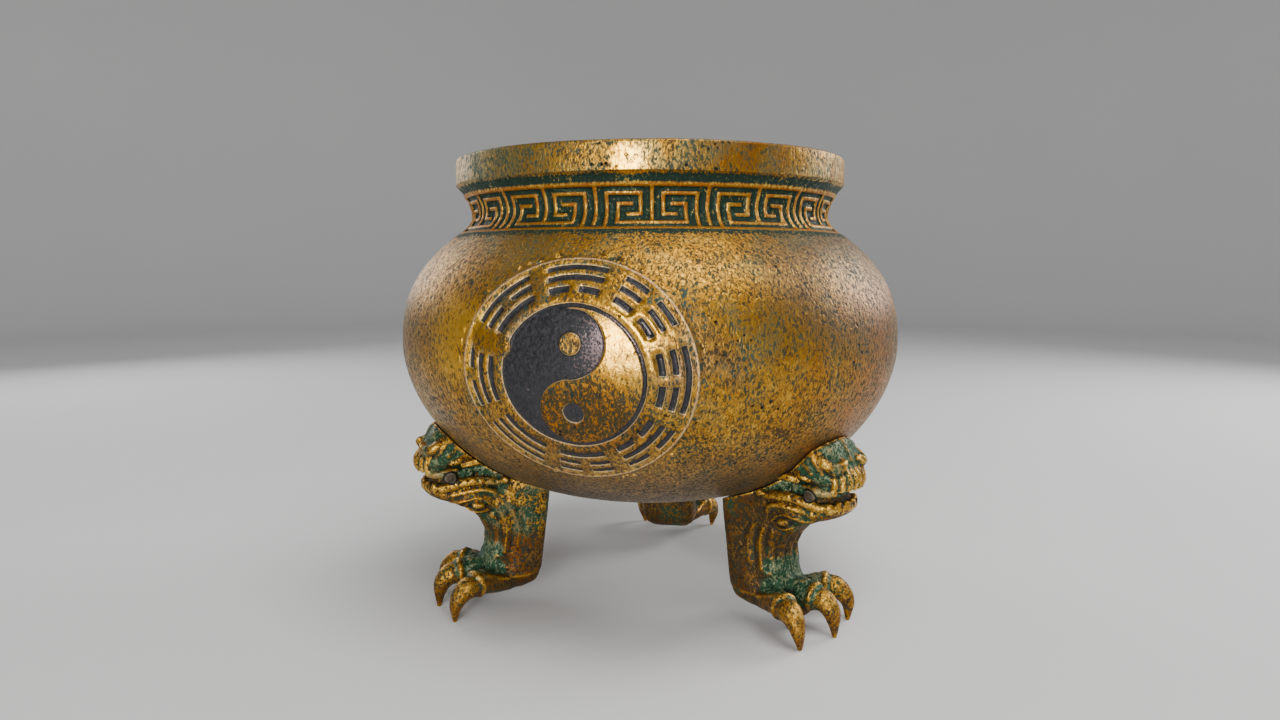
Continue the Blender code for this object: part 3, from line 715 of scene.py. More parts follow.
    def raise_fret(self, shape: BMesh) -> None:
        """Raise the fret's strokes and the rails, and mark where the bronze is green."""
        points = places(shape)
        along = -points[:, 1]
        azimuth = np.degrees(points[:, 0] / self.sizes.belly_radius)
        on_neck = (along > self.neck_start - 0.01) & (along < self.neck_end + 0.01)
        raised = np.zeros(len(points))
        raised[on_neck] = self.fret.raised(azimuth[on_neck], along[on_neck] - self.neck_start,
                                           self.neck_length, self.neck_radius)
        layer = shape.verts.layers.float[Mask.RAISED.value]
        known = np.array([vert[layer] for vert in shape.verts])
        points[:, 2] += raised * self.fret.relief
        shake = rough(points[on_neck], self.fret.wobble_wave, 3.0)
        points[on_neck, 0] += self.fret.wobble * shake
        set_places(shape, points)
        set_mask(shape, Mask.RAISED, np.maximum(known, raised))
        over = smoothstep(self.neck_start - self.green_over,
                          self.neck_start - self.sizes.rim_undercut, along)
        under = smoothstep(self.neck_end + self.run_out, self.neck_end + self.green_under, along)
        set_mask(shape, Mask.GREEN, np.minimum(over, under))

    def wrap(self, shape: BMesh) -> None:
        """Turn the flat sheet into the bowl's outside, with the swells of a casting."""
        points = places(shape)
        azimuth, along = points[:, 0] / self.sizes.belly_radius, -points[:, 1]
        smooth = self.section.wrapped(azimuth, along, np.zeros(len(points))) / MM
        swell = self.swell * (rough(smooth, self.swell_wave) - 1.0) / 2.0
        swell += self.ripple * (rough(smooth, self.ripple_wave, 5.0) - 1.0) / 2.0 - self.inset
        set_places(shape, self.section.wrapped(azimuth, along, points[:, 2] + swell))

    def inner_outline(self) -> Array:
        """Points of the inside from under the mouth's edge down to the flat of the floor."""
        sizes, belly = self.sizes, self.belly
        along = np.linspace(*self.inner_stretch, self.inner_rows) * belly.length
        radius, height = belly.lifted(along, np.full(len(along), -sizes.wall))
        keep = radius > sizes.floor_flat_radius * self.floor_margin
        keep &= height > sizes.underside + sizes.wall
        heights = np.linspace(sizes.rim_top - self.mouth_start, sizes.belly_top + self.mouth_end,
                              self.mouth_rows)
        mouth = [(sizes.mouth_radius, z) for z in heights]
        lip = [(sizes.mouth_radius + self.lip[0], sizes.belly_top - self.lip[1])]
        floor = [(sizes.floor_flat_radius, sizes.underside + sizes.wall)]
        return np.array([*mouth, *lip, *np.column_stack([radius, height])[keep], *floor])

    def add_turned(self, shape: BMesh, outline: Array) -> list:
        """Spin the inside into the shape and return the edges of its upper rim."""
        points = [(0.0, -radius * MM, height * MM) for radius, height in outline]
        spun(shape, points, self.inner_steps)
        return self.open_loop(shape, outline[0])

    def open_loop(self, shape: BMesh, spot: Sequence[float]) -> list:
        """The open edges whose radius and height are these."""
        def is_near(vert: bmesh.types.BMVert) -> bool:
            """Whether the vertex is at the spot, but for the casting's swells."""
            beside = abs(math.hypot(vert.co.x, vert.co.y) / MM - spot[0])
            return max(beside, abs(vert.co.z / MM - spot[1])) < self.loop_slack

        return [edge for edge in shape.edges if edge.is_boundary and all(map(is_near, edge.verts))]

    def close_with_cap(self, shape: BMesh, open_edges: list, radius: float,
                       height: float) -> None:
        """Close a round opening with a flat cap that has fewer sides."""
        cap = bmesh.ops.create_circle(shape, cap_ends=True, cap_tris=True, segments=self.cap_steps,
                                      radius=radius * MM,
                                      matrix=Matrix.Translation((0.0, 0.0, height * MM)))
        rim = {edge for vert in cap["verts"] for edge in vert.link_edges if edge.is_boundary}
        bmesh.ops.bridge_loops(shape, edges=[*open_edges, *rim])

    def build(self, finish: "BowlBronze") -> Object:
        """Make the bowl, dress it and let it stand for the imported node.

        Args:
            finish: The finish of the cast metal.

        Returns:
            The finished piece.
        """
        shape = self.unrolled()
        self.disc.carve(shape, Vector((0.0, -(self.widest + self.disc.drop), 0.0)))
        self.rub(shape)
        self.raise_fret(shape)
        self.wrap(shape)
        bmesh.ops.remove_doubles(shape, verts=shape.verts, dist=SAME_POINT * MM)
        start, end = self.section.outline[0], self.rows()[-1]
        inner = self.inner_outline()
        mouth_inside = self.add_turned(shape, inner)
        bmesh.ops.bridge_loops(shape, edges=[*self.open_loop(shape, start), *mouth_inside])
        flat = self.sizes.floor_flat_radius
        floor = self.sizes.underside + self.sizes.wall
        self.close_with_cap(shape, self.open_loop(shape, inner[-1]), flat * self.floor_cap, floor)
        radius, height = self.section.at(end)
        below = float(self.section.at(self.section.length)[1])
        self.close_with_cap(shape, self.open_loop(shape, (float(radius), float(height))),
                            float(radius) * self.under_cap, below)
        bmesh.ops.recalc_face_normals(shape, faces=shape.faces)
        piece = finished("cast_bowl", shape)
        piece.data.materials.append(finish.material())
        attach(piece, "root")
        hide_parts("bowl")
        return piece


# The legs


@dataclass(frozen=True)
class Stroke:
    """A carved line or dent: where it runs, how high it stands, how wide it is, how bright."""

    path: Path
    height: float
    width: float
    gold: float = 0.0
    laid: Laid = Laid.IN_SPACE

    def shown(self, points: Array, normals: Array, width: float) -> Array:
        """How strongly the stroke shows at each point.

        Args:
            points: Points of a leg, folded over its middle plane.
            normals: The leg's normals at these points.
            width: Half width to draw the stroke with.

        Returns:
            One value from 0 to 1 for each point.
        """
        seen = np.array(self.laid.value)
        path = [tuple(np.array(point[:3]) * seen) for point in self.path]
        near = distance_to_path(points * seen, path, width * 3.0)
        share = np.exp(-((near / width) ** 2))
        if self.laid is Laid.FROM_SIDE:
            share *= smoothstep(0.3, 0.6, np.abs(normals[:, 1]))
        elif self.laid is Laid.FROM_FRONT:
            share *= smoothstep(0.3, 0.6, normals[:, 0])
        return share


@dataclass
class LegForms:
    """The forms that are fused into a leg, placed by (outwards, aside, up) from its back."""

    sides: int = 28
    # Level sections: height, back, front, half width
    back: Path = ((8.2, 13.0, 28.0, 10.0), (11.5, 7.2, 27.0, 13.4), (16.5, 4.8, 24.0, 14.6),
                  (26.0, 3.8, 19.0, 14.6), (54.0, 0.3, 18.0, 14.9), (92.0, 0.0, 24.0, 15.0))
    back_squareness: float = 5.0
    shin: Path = ((6.3, 20.0, 38.0, 9.0), (9.5, 12.0, 38.5, 12.6), (16.0, 6.0, 35.0, 14.0),
                  (24.0, 5.0, 30.4, 13.9), (34.0, 4.0, 28.8, 13.6), (41.0, 3.0, 32.0, 14.2),
                  (46.5, 3.0, 37.5, 14.9), (54.0, 4.0, 39.0, 15.2), (64.0, 8.0, 40.0, 12.6),
                  (74.0, 8.0, 44.0, 14.6), (92.0, 8.0, 46.0, 14.6))
    shin_squareness: float = 2.6
    # Upright sections: outwards, low, high, half width
    jaw: Path = ((20.0, 44.0, 59.5, 13.8), (27.0, 45.0, 61.2, 15.2), (35.0, 46.0, 62.2, 15.8),
                 (41.0, 47.8, 61.6, 15.2), (46.0, 50.3, 60.0, 13.8), (50.5, 51.8, 58.4, 12.0),
                 (54.0, 53.2, 57.8, 9.0), (56.0, 54.8, 57.2, 5.0))
    jaw_squareness: float = 2.8
    head: Path = ((22.0, 67.2, 92.0, 13.8), (31.0, 66.6, 92.0, 15.4), (40.0, 65.8, 92.0, 15.9),
                  (47.5, 64.2, 88.0, 16.0), (52.5, 63.2, 84.5, 14.8), (56.0, 63.8, 78.0, 12.2),
                  (58.2, 65.2, 73.0, 8.6), (59.4, 67.0, 70.5, 4.6))
    tongue: Path = ((36.0, 56.0, 70.0, 11.8), (45.0, 56.0, 70.0, 11.4), (51.0, 57.0, 67.0, 9.0),
                    (54.0, 58.5, 65.0, 4.5))
    head_squareness: float = 2.6
    # Toes and claws, each a run with its radius
    middle_toe: Path = ((24.0, 0.0, 15.0, 7.4), (36.0, 0.0, 15.8, 6.2), (43.5, 0.0, 15.2, 5.4))
    middle_claw: Path = ((41.5, 0.0, 15.4, 4.6), (45.6, 0.0, 14.6, 5.2), (49.0, 0.0, 11.6, 4.3),
                         (50.4, 0.0, 7.6, 3.2), (50.9, 0.0, 3.6, 2.0), (51.2, 0.0, -0.6, 0.9))
    side_toe: Path = ((20.0, 6.0, 13.6, 7.2), (32.0, 13.6, 14.4, 6.0), (38.8, 18.0, 14.2, 5.2))
    side_claw: Path = ((36.8, 17.0, 14.4, 4.4), (40.6, 19.1, 14.0, 5.2), (44.2, 20.6, 11.2, 4.2),
                       (46.0, 21.2, 7.4, 3.1), (46.4, 20.7, 3.6, 2.0), (46.5, 20.2, -0.6, 0.9))
    # Cuffs of skin at the root of each claw: where, along which way, radius
    cuffs: tuple[tuple[Path, float], ...] = (
        (((41.2, 0.0, 15.5), (1.0, 0.0, -0.12)), 6.6),
        (((36.4, 16.5, 14.5), (0.86, 0.5, -0.1)), 6.4),
    )
    cuff_thickness: float = 0.42
    # Rounded bands on the sides of the head: how bright, then a run with its radius
    bands: tuple[tuple[float, Path], ...] = (
        (0.75, ((27.0, 14.4, 68.0, 0.9), (32.0, 15.1, 69.7, 2.2), (37.5, 15.4, 69.5, 2.0),
               (41.6, 15.0, 68.0, 0.8))),
        (0.9, ((39.0, 15.1, 72.4, 0.6), (42.6, 15.6, 70.9, 1.5), (46.8, 15.3, 69.0, 0.7))),
        (0.55, ((42.6, 14.6, 66.8, 0.9), (48.0, 14.6, 65.6, 1.9), (52.6, 13.2, 65.0, 2.0),
               (56.2, 10.4, 65.4, 1.7))),
        (0.5, ((46.4, 15.6, 81.0, 0.4), (48.8, 16.1, 77.4, 0.6), (52.2, 15.0, 73.0, 0.4))),
        (0.5, ((43.6, 15.7, 76.4, 0.4), (47.4, 16.2, 72.4, 0.6))),
        (0.4, ((43.0, 15.7, 77.6, 0.4), (46.6, 16.2, 79.6, 0.55))),
        (1.0, ((49.6, 14.8, 79.8, 0.8), (52.6, 14.0, 76.8, 2.1), (55.2, 11.4, 75.2, 2.8),
               (57.0, 8.0, 76.0, 2.3), (57.4, 5.6, 78.2, 1.0))),
        (0.62, ((23.6, 14.0, 59.4, 1.0), (29.8, 14.3, 60.4, 2.0), (36.0, 14.5, 61.0, 2.2),
               (42.0, 14.0, 60.2, 2.1), (47.0, 12.7, 58.6, 1.9), (51.0, 11.3, 57.9, 2.0))),
        (0.9, ((51.6, 11.4, 57.4, 1.8), (54.2, 7.8, 57.2, 1.8), (55.8, 3.6, 57.4, 1.8),
               (56.3, 0.0, 57.4, 1.8))),
        (0.35, ((28.4, 15.0, 49.0, 0.4), (31.4, 15.6, 51.9, 0.6), (35.4, 15.9, 53.0, 0.65),
                (39.6, 15.3, 52.2, 0.6), (43.6, 13.8, 51.4, 0.5), (47.0, 11.6, 51.6, 0.4))),
        (0.3, ((28.4, 15.0, 49.0, 0.4), (32.4, 15.6, 47.4, 0.6), (36.6, 15.6, 47.6, 0.6),
               (40.6, 14.4, 49.6, 0.4))),
        (0.45, ((25.6, 14.3, 53.2, 0.8), (29.0, 14.7, 56.0, 1.6), (35.0, 15.1, 56.6, 1.6),
                (41.0, 14.5, 55.2, 1.0))),
    )
    # Round forms: middle and half sizes
    balls: tuple[tuple[tuple[float, float, float], tuple[float, float, float]], ...] = (
        ((35.2, 15.0, 50.2), (4.3, 1.9, 2.0)),
        ((46.4, 13.8, 63.2), (3.3, 2.4, 2.1)),
        ((52.6, 10.6, 58.8), (1.9, 1.9, 1.9)),
        ((54.8, 6.6, 59.0), (1.9, 1.9, 1.8)),
        ((56.0, 2.2, 59.0), (1.8, 1.9, 1.8)),
        ((22.3, 14.9, 60.6), (1.9, 1.5, 1.9)),
    )
    # Dark places with their reach and how far they go: the bead in the mouth's corner, the eye
    dark_spots: tuple[tuple[tuple[float, float, float], float, float], ...] = (
        ((46.4, 15.6, 63.2), 3.7, 1.0), ((38.4, 16.0, 50.4), 1.9, 0.22))
    lip_teeth: int = 4
    lip_tooth_start: float = 1.6
    lip_tooth_pitch: float = 3.5
    lip_front: float = 60.0
    lip_rounding: float = 0.026
    # One upright tooth of the upper lip: behind the lip's front, up, radius
    lip_tooth: Path = ((1.6, 73.2, 0.6), (0.3, 70.8, 1.1), (0.1, 68.2, 1.3), (0.9, 65.1, 1.1))

    def tooth(self, number: int) -> Path:
        """Run of one tooth, counted from the leg's middle plane."""
        reach = self.lip_tooth_start + number * self.lip_tooth_pitch
        front = self.lip_front - self.lip_rounding * reach * reach
        return tuple((front - behind, reach, up, radius) for behind, up, radius in self.lip_tooth)


def from_side(path: Path, height: float, width: float, gold: float = 0.0) -> Stroke:
    """A stroke that is seen straight from the side, through points of (outwards, up)."""
    path = tuple((out, 0.0, up) for out, up in path)
    return Stroke(path, height, width, gold, Laid.FROM_SIDE)


def from_front(path: Path, height: float, width: float, gold: float = 0.0) -> Stroke:
    """A stroke that is seen straight from the front, through points of (aside, up)."""
    path = tuple((0.0, beside, up) for beside, up in path)
    return Stroke(path, height, width, gold, Laid.FROM_FRONT)


LEG_STROKES = (
    # The eye: lids, the dark of the eye, creases round it
    Stroke(((28.4, 15.4, 49.2), (31.4, 16.0, 52.2), (35.4, 16.2, 53.4), (39.6, 15.6, 52.6),
            (43.6, 14.0, 51.6), (47.0, 11.8, 51.8)), 0.2, 0.5, 0.4),
    Stroke(((28.4, 15.4, 49.2), (32.4, 15.9, 47.2), (36.6, 15.8, 47.4),
            (40.6, 14.6, 49.6)), 0.2, 0.5, 0.35),
    from_side(((38.2, 50.3), (38.8, 50.4)), -0.5, 1.0),
    from_side(((33.0, 50.0), (35.6, 50.3)), 0.3, 1.2, 0.85),
    from_side(((30.0, 49.3), (33.0, 51.9), (36.8, 52.2), (41.0, 50.7)), -0.6, 0.5),
    from_side(((30.0, 49.3), (33.6, 48.2), (37.2, 48.3), (41.0, 50.2)), -0.6, 0.5),
    Stroke(((30.6, 15.8, 45.6), (34.0, 15.4, 44.8), (38.0, 14.6, 46.0),
            (42.0, 13.4, 48.4)), -0.55, 0.7),
    Stroke(((26.6, 15.2, 51.2), (30.0, 15.9, 54.6), (35.0, 16.2, 55.6), (40.0, 15.6, 54.8),
            (44.0, 14.2, 53.2)), -0.55, 0.8),
    Stroke(((25.6, 15.2, 53.6), (29.0, 15.9, 56.8), (34.0, 16.2, 58.0)), 0.3, 1.0, 0.35),
    # Folds of skin down the shin, and the leaf-shaped hollow under the eye
    from_side(((26.5, 45.0), (24.8, 40.0), (24.2, 34.0), (25.4, 26.0)), -0.75, 0.65),
    from_side(((24.2, 45.4), (22.4, 40.0), (21.8, 34.0), (22.8, 26.5)), 0.5, 0.8, 0.3),
    from_side(((21.8, 45.6), (19.8, 40.0), (19.2, 34.0), (20.0, 27.0)), -0.65, 0.65),
    from_side(((19.4, 46.0), (17.0, 40.0), (16.4, 35.0), (17.0, 29.0)), 0.45, 0.9, 0.25),
    from_side(((17.0, 46.4), (14.4, 40.5), (13.8, 36.0)), -0.45, 0.7),
    from_side(((28.4, 44.4), (27.0, 40.0), (26.4, 33.0), (27.4, 27.0)), 0.4, 0.7, 0.3),
    from_side(((28.0, 46.6), (30.4, 44.8), (31.6, 43.0)), -0.9, 1.1),
    from_front(((9.6, 44.0), (9.0, 38.0), (8.4, 30.0)), -0.6, 0.8),
    from_front(((6.6, 44.0), (6.2, 38.0), (5.8, 30.0)), 0.5, 0.9, 0.25),
    from_front(((3.6, 43.0), (3.4, 38.0), (3.2, 28.0)), -0.6, 0.8),
    from_front(((0.0, 43.0), (0.0, 38.0), (0.0, 30.0)), 0.5, 1.0, 0.2),
    # Hollows between the toes and on the outer side of the foot
    Stroke(((24.0, 12.8, 20.5), (29.0, 13.4, 19.0)), -1.9, 3.6),
    Stroke(((33.0, 7.6, 18.0), (37.0, 9.2, 16.0)), -1.5, 2.6),
    Stroke(((6.0, 14.9, 15.4), (16.0, 14.9, 14.6), (24.0, 15.4, 15.4), (31.0, 17.6, 18.0),
            (36.0, 19.6, 18.6)), 0.7, 1.0, 0.8),
    Stroke(((31.0, 16.0, 17.6), (37.0, 18.6, 18.4)), 0.2, 2.2, 0.9),
    Stroke(((30.0, 4.6, 24.0), (33.0, 3.4, 22.0), (38.0, 2.0, 22.2)), 0.5, 1.1, 0.1),
    Stroke(((26.0, 11.6, 25.0), (29.6, 11.4, 22.6), (33.6, 13.6, 20.6)), 0.6, 1.0, 0.1),
    # Knuckle creases over each toe
    Stroke(((38.6, 0.0, 21.8), (38.6, 4.2, 20.0)), -0.5, 0.7),
    Stroke(((34.2, 14.0, 20.3), (33.0, 18.2, 18.0)), -0.5, 0.7),
    # Hollow over the nostril, and fine lines over the snout
    Stroke(((52.2, 13.6, 81.4), (55.2, 10.6, 79.6), (56.8, 7.0, 80.6)), -1.1, 1.5),
    Stroke(((50.0, 14.8, 84.0), (53.6, 10.0, 84.0), (54.4, 4.0, 84.6)), 0.5, 0.8, 0.4),
    Stroke(((41.0, 16.0, 82.0), (44.0, 16.0, 84.0), (48.0, 15.4, 83.4)), 0.4, 0.7, 0.35),
    Stroke(((37.0, 16.0, 75.6), (40.0, 16.2, 78.2), (40.6, 16.0, 81.0)), 0.4, 0.7, 0.3),
    Stroke(((50.0, 15.6, 76.4), (53.2, 14.4, 73.2), (56.4, 10.6, 71.6),
            (58.4, 6.4, 73.2)), -0.7, 0.7),
    from_side(((49.4, 82.6), (52.4, 83.4)), -0.8, 1.5),
    from_side(((36.0, 82.6), (40.0, 86.0), (45.4, 86.4)), 0.45, 0.7, 0.3),
    from_side(((38.0, 80.6), (42.0, 84.4), (46.6, 84.6)), -0.5, 0.6),
    from_side(((45.6, 89.0), (50.0, 86.2), (53.6, 83.4)), 0.5, 0.7, 0.45),
    from_side(((32.0, 77.0), (36.0, 80.6), (38.4, 84.0)), -0.45, 0.6),
    from_side(((30.0, 75.4), (34.0, 78.6), (36.4, 82.0)), 0.4, 0.7, 0.3),
    from_front(((0.0, 85.0), (0.0, 77.0)), 0.6, 1.1, 0.4),
    from_front(((5.0, 86.4), (9.0, 84.4), (12.4, 85.0)), -0.6, 0.9),
    # Leaf-shaped folds over the mouth, split by fine cuts
    from_side(((29.0, 69.0), (35.0, 70.0), (41.0, 68.6)), -0.4, 0.5),
    from_side(((26.6, 66.6), (32.0, 66.9), (38.0, 67.0), (42.6, 66.2)), -0.7, 0.6),
    from_side(((27.0, 70.4), (32.6, 72.4), (38.0, 71.8), (41.6, 69.4), (47.0, 67.6)), -0.5, 0.5),
    Stroke(((30.0, 15.6, 72.4), (34.0, 16.2, 73.2), (39.0, 16.2, 71.6)), -0.4, 0.8),
    Stroke(((30.6, 15.6, 74.4), (35.0, 16.0, 76.0), (40.0, 16.0, 74.8)), 0.35, 0.9, 0.25),
    Stroke(((33.0, 15.8, 78.0), (38.0, 16.0, 79.4), (42.0, 16.0, 77.6)), -0.35, 0.8),
    Stroke(((45.4, 15.8, 69.4), (50.0, 15.6, 67.6), (54.2, 13.6, 66.8)), -0.45, 0.55),
    # The ragged upper edge of the jaw ridge
    from_side(((26.0, 61.4), (26.8, 60.2)), -0.6, 0.6),
    from_side(((30.4, 63.0), (30.9, 61.6)), -0.6, 0.6),
    from_side(((34.6, 63.8), (35.0, 62.2)), -0.6, 0.6),
    from_side(((38.8, 63.4), (38.8, 61.8)), -0.6, 0.6),
    Stroke(((42.6, 15.4, 62.4), (42.4, 15.4, 61.0)), -0.6, 0.7),
    from_side(((26.0, 57.2), (31.0, 58.3), (37.0, 58.5), (43.0, 57.1), (48.0, 55.4)), -0.6, 0.6),
    # Cuts between the teeth of both lips
    Stroke(((56.8, 6.2, 59.6), (56.0, 6.2, 55.6)), -0.7, 0.6),
    Stroke(((52.2, 12.0, 59.4), (51.6, 12.0, 55.8)), -0.6, 0.6),
    # The corner of the mouth
    Stroke(((38.0, 16.0, 64.6), (42.0, 15.8, 64.8), (45.0, 15.2, 66.0)), -0.6, 0.9),
)


class Way(Enum):
    """What a limit on a leg reads: a place in millimetres, or how far the metal faces a way."""

    OUT = 0
    BESIDE = 1
    UP = 2
    FACES_OUT = 3
    FACES_UP = 5


@dataclass(frozen=True)
class Zone:
    """A part of the leg between soft limits, and how strongly it is marked there.

    Each limit is a way, the value where the zone ends and the value where it is full. The
    second may be the lower one.
    """

    strength: float
    limits: tuple[tuple[Way, float, float], ...]

    def share(self, on_leg: Array) -> Array:
        """How strongly each point is marked.

        Args:
            on_leg: Points of the leg from its back, folded over its middle plane, with the
                leg's normals beside them where a limit reads these.

        Returns:
            One value from 0 to the strength for each point.
        """
        inside = np.full(len(on_leg), self.strength)
        for way, end, full in self.limits:
            inside *= smoothstep(end, full, on_leg[:, way.value])
        return inside


@dataclass
class LegWear:
    """Where a leg is rubbed bright and where it is green."""

    claw: float = 0.78
    claw_spread: float = 6.5
    gold_spread: float = 1.4
    band_reach: float = 8.0
    tooth_reach: float = 6.0
    cuff: float = 0.9
    cuff_line: tuple[float, float] = (1.7, 1.0)
    cuff_margin: float = 1.5
    seam: float = 0.7
    fine_edge: tuple[float, float] = (1.7, 1.0)
    ridge_softening: int = 14
    # The jaw's ridge, and the outer flank of the foot
    bright: tuple[Zone, ...] = (
        Zone(0.76, ((Way.OUT, 22.0, 27.0), (Way.UP, 53.0, 56.0), (Way.UP, 63.0, 62.0),
                    (Way.BESIDE, 9.0, 12.0))),
        Zone(0.5, ((Way.BESIDE, 13.0, 15.0), (Way.UP, 7.5, 9.5), (Way.UP, 17.0, 15.5),
                   (Way.OUT, 12.0, 24.0))),
    )
    foot: Zone = Zone(1.0, ((Way.OUT, 20.0, 26.0), (Way.UP, 36.0, 26.0), (Way.UP, 8.0, 14.0),
                            (Way.FACES_UP, -0.5, 0.1)))
    foot_side: Zone = Zone(1.0, ((Way.BESIDE, 13.0, 15.5), (Way.UP, 18.5, 16.5)))
    # The mouth, the head, the nape and the back of the shin
    green: tuple[Zone, ...] = (
        Zone(1.0, ((Way.OUT, 20.0, 26.0), (Way.UP, 61.5, 63.0), (Way.UP, 68.5, 66.5))),
        Zone(0.6, ((Way.UP, 66.0, 70.0), (Way.OUT, 10.0, 20.0))),
        Zone(0.5, ((Way.UP, 56.0, 62.0), (Way.OUT, 22.0, 14.0))),
        Zone(0.7, ((Way.FACES_OUT, -0.25, -0.7), (Way.OUT, 3.0, 1.5))),
    )

    def green_share(self, on_leg: Array) -> Array:
        """How green each point is: the green zones, and the foot but for its side."""
        foot = self.foot.share(on_leg) * (1.0 - self.foot_side.share(on_leg))
        return np.maximum.reduce([foot, *(zone.share(on_leg) for zone in self.green)])


@dataclass
class BeastLeg:
    """A cast leg: beast head under the belly, shin, and a foot with three claws."""

    seat: Section
    forms: LegForms = field(default_factory=LegForms)
    wear: LegWear = field(default_factory=LegWear)
    strokes: tuple[Stroke, ...] = LEG_STROKES
    back_radius: float = 51.5
    seam: float = 0.5
    seat_steps: int = 144
    seat_rows: int = 60
    grain: float = 0.62
    ball_sides: tuple[int, int] = (20, 12)
    cuff_sides: tuple[int, int] = (24, 14)
    softening: int = 3
    shank_softening: int = 30
    shank: Zone = Zone(1.0, ((Way.UP, 14.0, 20.0), (Way.UP, 56.0, 46.0), (Way.OUT, 34.0, 26.0)))
    shank_back: float = 18.0
    shank_foot: float = 14.0
    ripple: float = 0.12
    fine_ripple: float = 0.4
    ripple_waves: tuple[float, float] = (7.0, 2.2)
    first_azimuth: float = 64.0
    sharp_angle: float = 62.0
    nodes: tuple[str, ...] = ("front_right_leg", "back_leg", "front_left_leg")
    curve_steps: int = 8

    def loft(self, shape: BMesh, sections: Sequence[tuple[Vector, Vector, Vector]],
             squareness: float) -> None:
        """Bridge rounded sections into a closed form.

        Args:
            shape: Takes the form.
            sections: The middle and the two half axes of each section.
            squareness: 2 for ovals, more for squarer sections.
        """
        loops = []
        for middle, wide, high in sections:
            ring = bmesh.ops.create_circle(shape, segments=self.forms.sides, radius=1.0)["verts"]
            for vert in ring:
                c, s = (math.copysign(abs(share) ** (2.0 / squareness), share)
                        for share in vert.co.xy)
                vert.co = middle + wide * c + high * s
            loops.append(list({edge for vert in ring for edge in vert.link_edges}))
        for near, far in zip(loops, loops[1:]):
            bmesh.ops.bridge_loops(shape, edges=near + far)
        for loop in (loops[0], loops[-1]):
            bmesh.ops.contextual_create(shape, geom=loop)

    def level_loft(self, shape: BMesh, sections: Path, squareness: float) -> None:
        """A form through level sections of (height, back, front, half width)."""
        self.loft(shape, [(Vector(((back + front) / 2.0, 0.0, up)),
                           Vector(((front - back) / 2.0, 0.0, 0.0)), Vector((0.0, half, 0.0)))
                          for up, back, front, half in sections], squareness)

    def upright_loft(self, shape: BMesh, sections: Path, squareness: float) -> None:
        """A form through upright sections of (outwards, low, high, half width)."""
        self.loft(shape, [(Vector((out, 0.0, (low + high) / 2.0)), Vector((0.0, half, 0.0)),
                           Vector((0.0, 0.0, (high - low) / 2.0)))
                          for out, low, high, half in sections], squareness)

    def runs(self) -> list[Path]:
        """Every round run of the leg, on both sides of its middle plane."""
        forms = self.forms
        both = [forms.side_toe, forms.side_claw, *(run for _, run in forms.bands)]
        both += [forms.tooth(number) for number in range(forms.lip_teeth)]
        sides = [tuple((out, side * beside, up, radius) for out, beside, up, radius in run)
                 for side in (-1.0, 1.0) for run in both]
        return [forms.middle_toe, forms.middle_claw, *sides]

    def add_runs(self, shape: BMesh) -> None:
        """Add the round runs as bevelled curves made into meshes."""
        curve = bpy.data.curves.new("leg_runs", "CURVE")
        curve.dimensions = "3D"
        curve.bevel_depth = 1.0
        curve.bevel_resolution = 3
        curve.resolution_u = self.curve_steps
        curve.use_fill_caps = True
        for run in self.runs():
            spline = curve.splines.new("BEZIER")
            spline.bezier_points.add(len(run) - 1)
            for point, (out, beside, up, radius) in zip(spline.bezier_points, run):
                point.co = (out, beside, up)
                point.radius = radius
                point.handle_left_type = point.handle_right_type = "AUTO"
        mesh = evaluated(linked("leg_runs", curve))
        shape.from_mesh(mesh)
        bpy.data.curves.remove(curve)
        bpy.data.meshes.remove(mesh)

    def add_ball(self, shape: BMesh, place: Matrix, half: Sequence[float],
                 sides: tuple[int, int]) -> None:
        """Add a ball with these half sizes and this many sides, as placed by the matrix."""
        bmesh.ops.create_uvsphere(shape, u_segments=sides[0], v_segments=sides[1], radius=1.0,
                                  matrix=place @ Matrix.Diagonal((*half, 1.0)))

    def add_balls(self, shape: BMesh) -> None:
        """Add the round forms and the cuffs, on both sides."""
        for side in (-1.0, 1.0):
            hand = Vector((1.0, side, 1.0))
            for middle, half in self.forms.balls:
                self.add_ball(shape, Matrix.Translation(Vector(middle) * hand), half,
                              self.ball_sides)
            for (middle, way), radius in self.forms.cuffs:
                turn = (Vector(way) * hand).to_track_quat("Z", "Y").to_matrix().to_4x4()
                half = (radius, radius, radius * self.forms.cuff_thickness)
                self.add_ball(shape, Matrix.Translation(Vector(middle) * hand) @ turn, half,
                              self.cuff_sides)

    def fused(self) -> Mesh:
        """All forms fused into one fine skin, in millimetres."""
        shape, forms = bmesh.new(), self.forms
        self.level_loft(shape, forms.back, forms.back_squareness)
        self.level_loft(shape, forms.shin, forms.shin_squareness)
        self.upright_loft(shape, forms.jaw, forms.jaw_squareness)
        self.upright_loft(shape, forms.head, forms.head_squareness)
        self.upright_loft(shape, forms.tongue, forms.head_squareness)
        self.add_runs(shape)
        self.add_balls(shape)
        bmesh.ops.recalc_face_normals(shape, faces=shape.faces)
        holder = finished("leg_forms", shape)
        remesh = holder.modifiers.new("Fuse", "REMESH")
        remesh.mode = "VOXEL"
        remesh.voxel_size = self.grain
        return evaluated(holder)

    def carve(self, skin: Mesh) -> None:
        """Soften the skin and raise or sink every stroke on it."""
        points, edges = mesh_arrays(skin)
        points = relaxed(points, edges, self.softening)
        on_back = (points[:, 0] < self.shank_back) * (points[:, 2] > self.shank_foot)
        shank = np.maximum(self.shank.share(points), on_back)[:, None]
        points += (relaxed(points, edges, self.shank_softening) - points) * shank
        set_mesh_places(skin, points)
        points, _ = mesh_arrays(skin)
        normals = mesh_normals(skin)
        on_leg = folded(points)
        broad, fine = self.ripple_waves
        lift = self.ripple * rough(points, broad)
        lift += self.ripple * self.fine_ripple * rough(points, fine, 6.0)
        for stroke in self.strokes:
            lift += stroke.height * stroke.shown(on_leg, normals, stroke.width)
        set_mesh_places(skin, points + normals * lift[:, None])

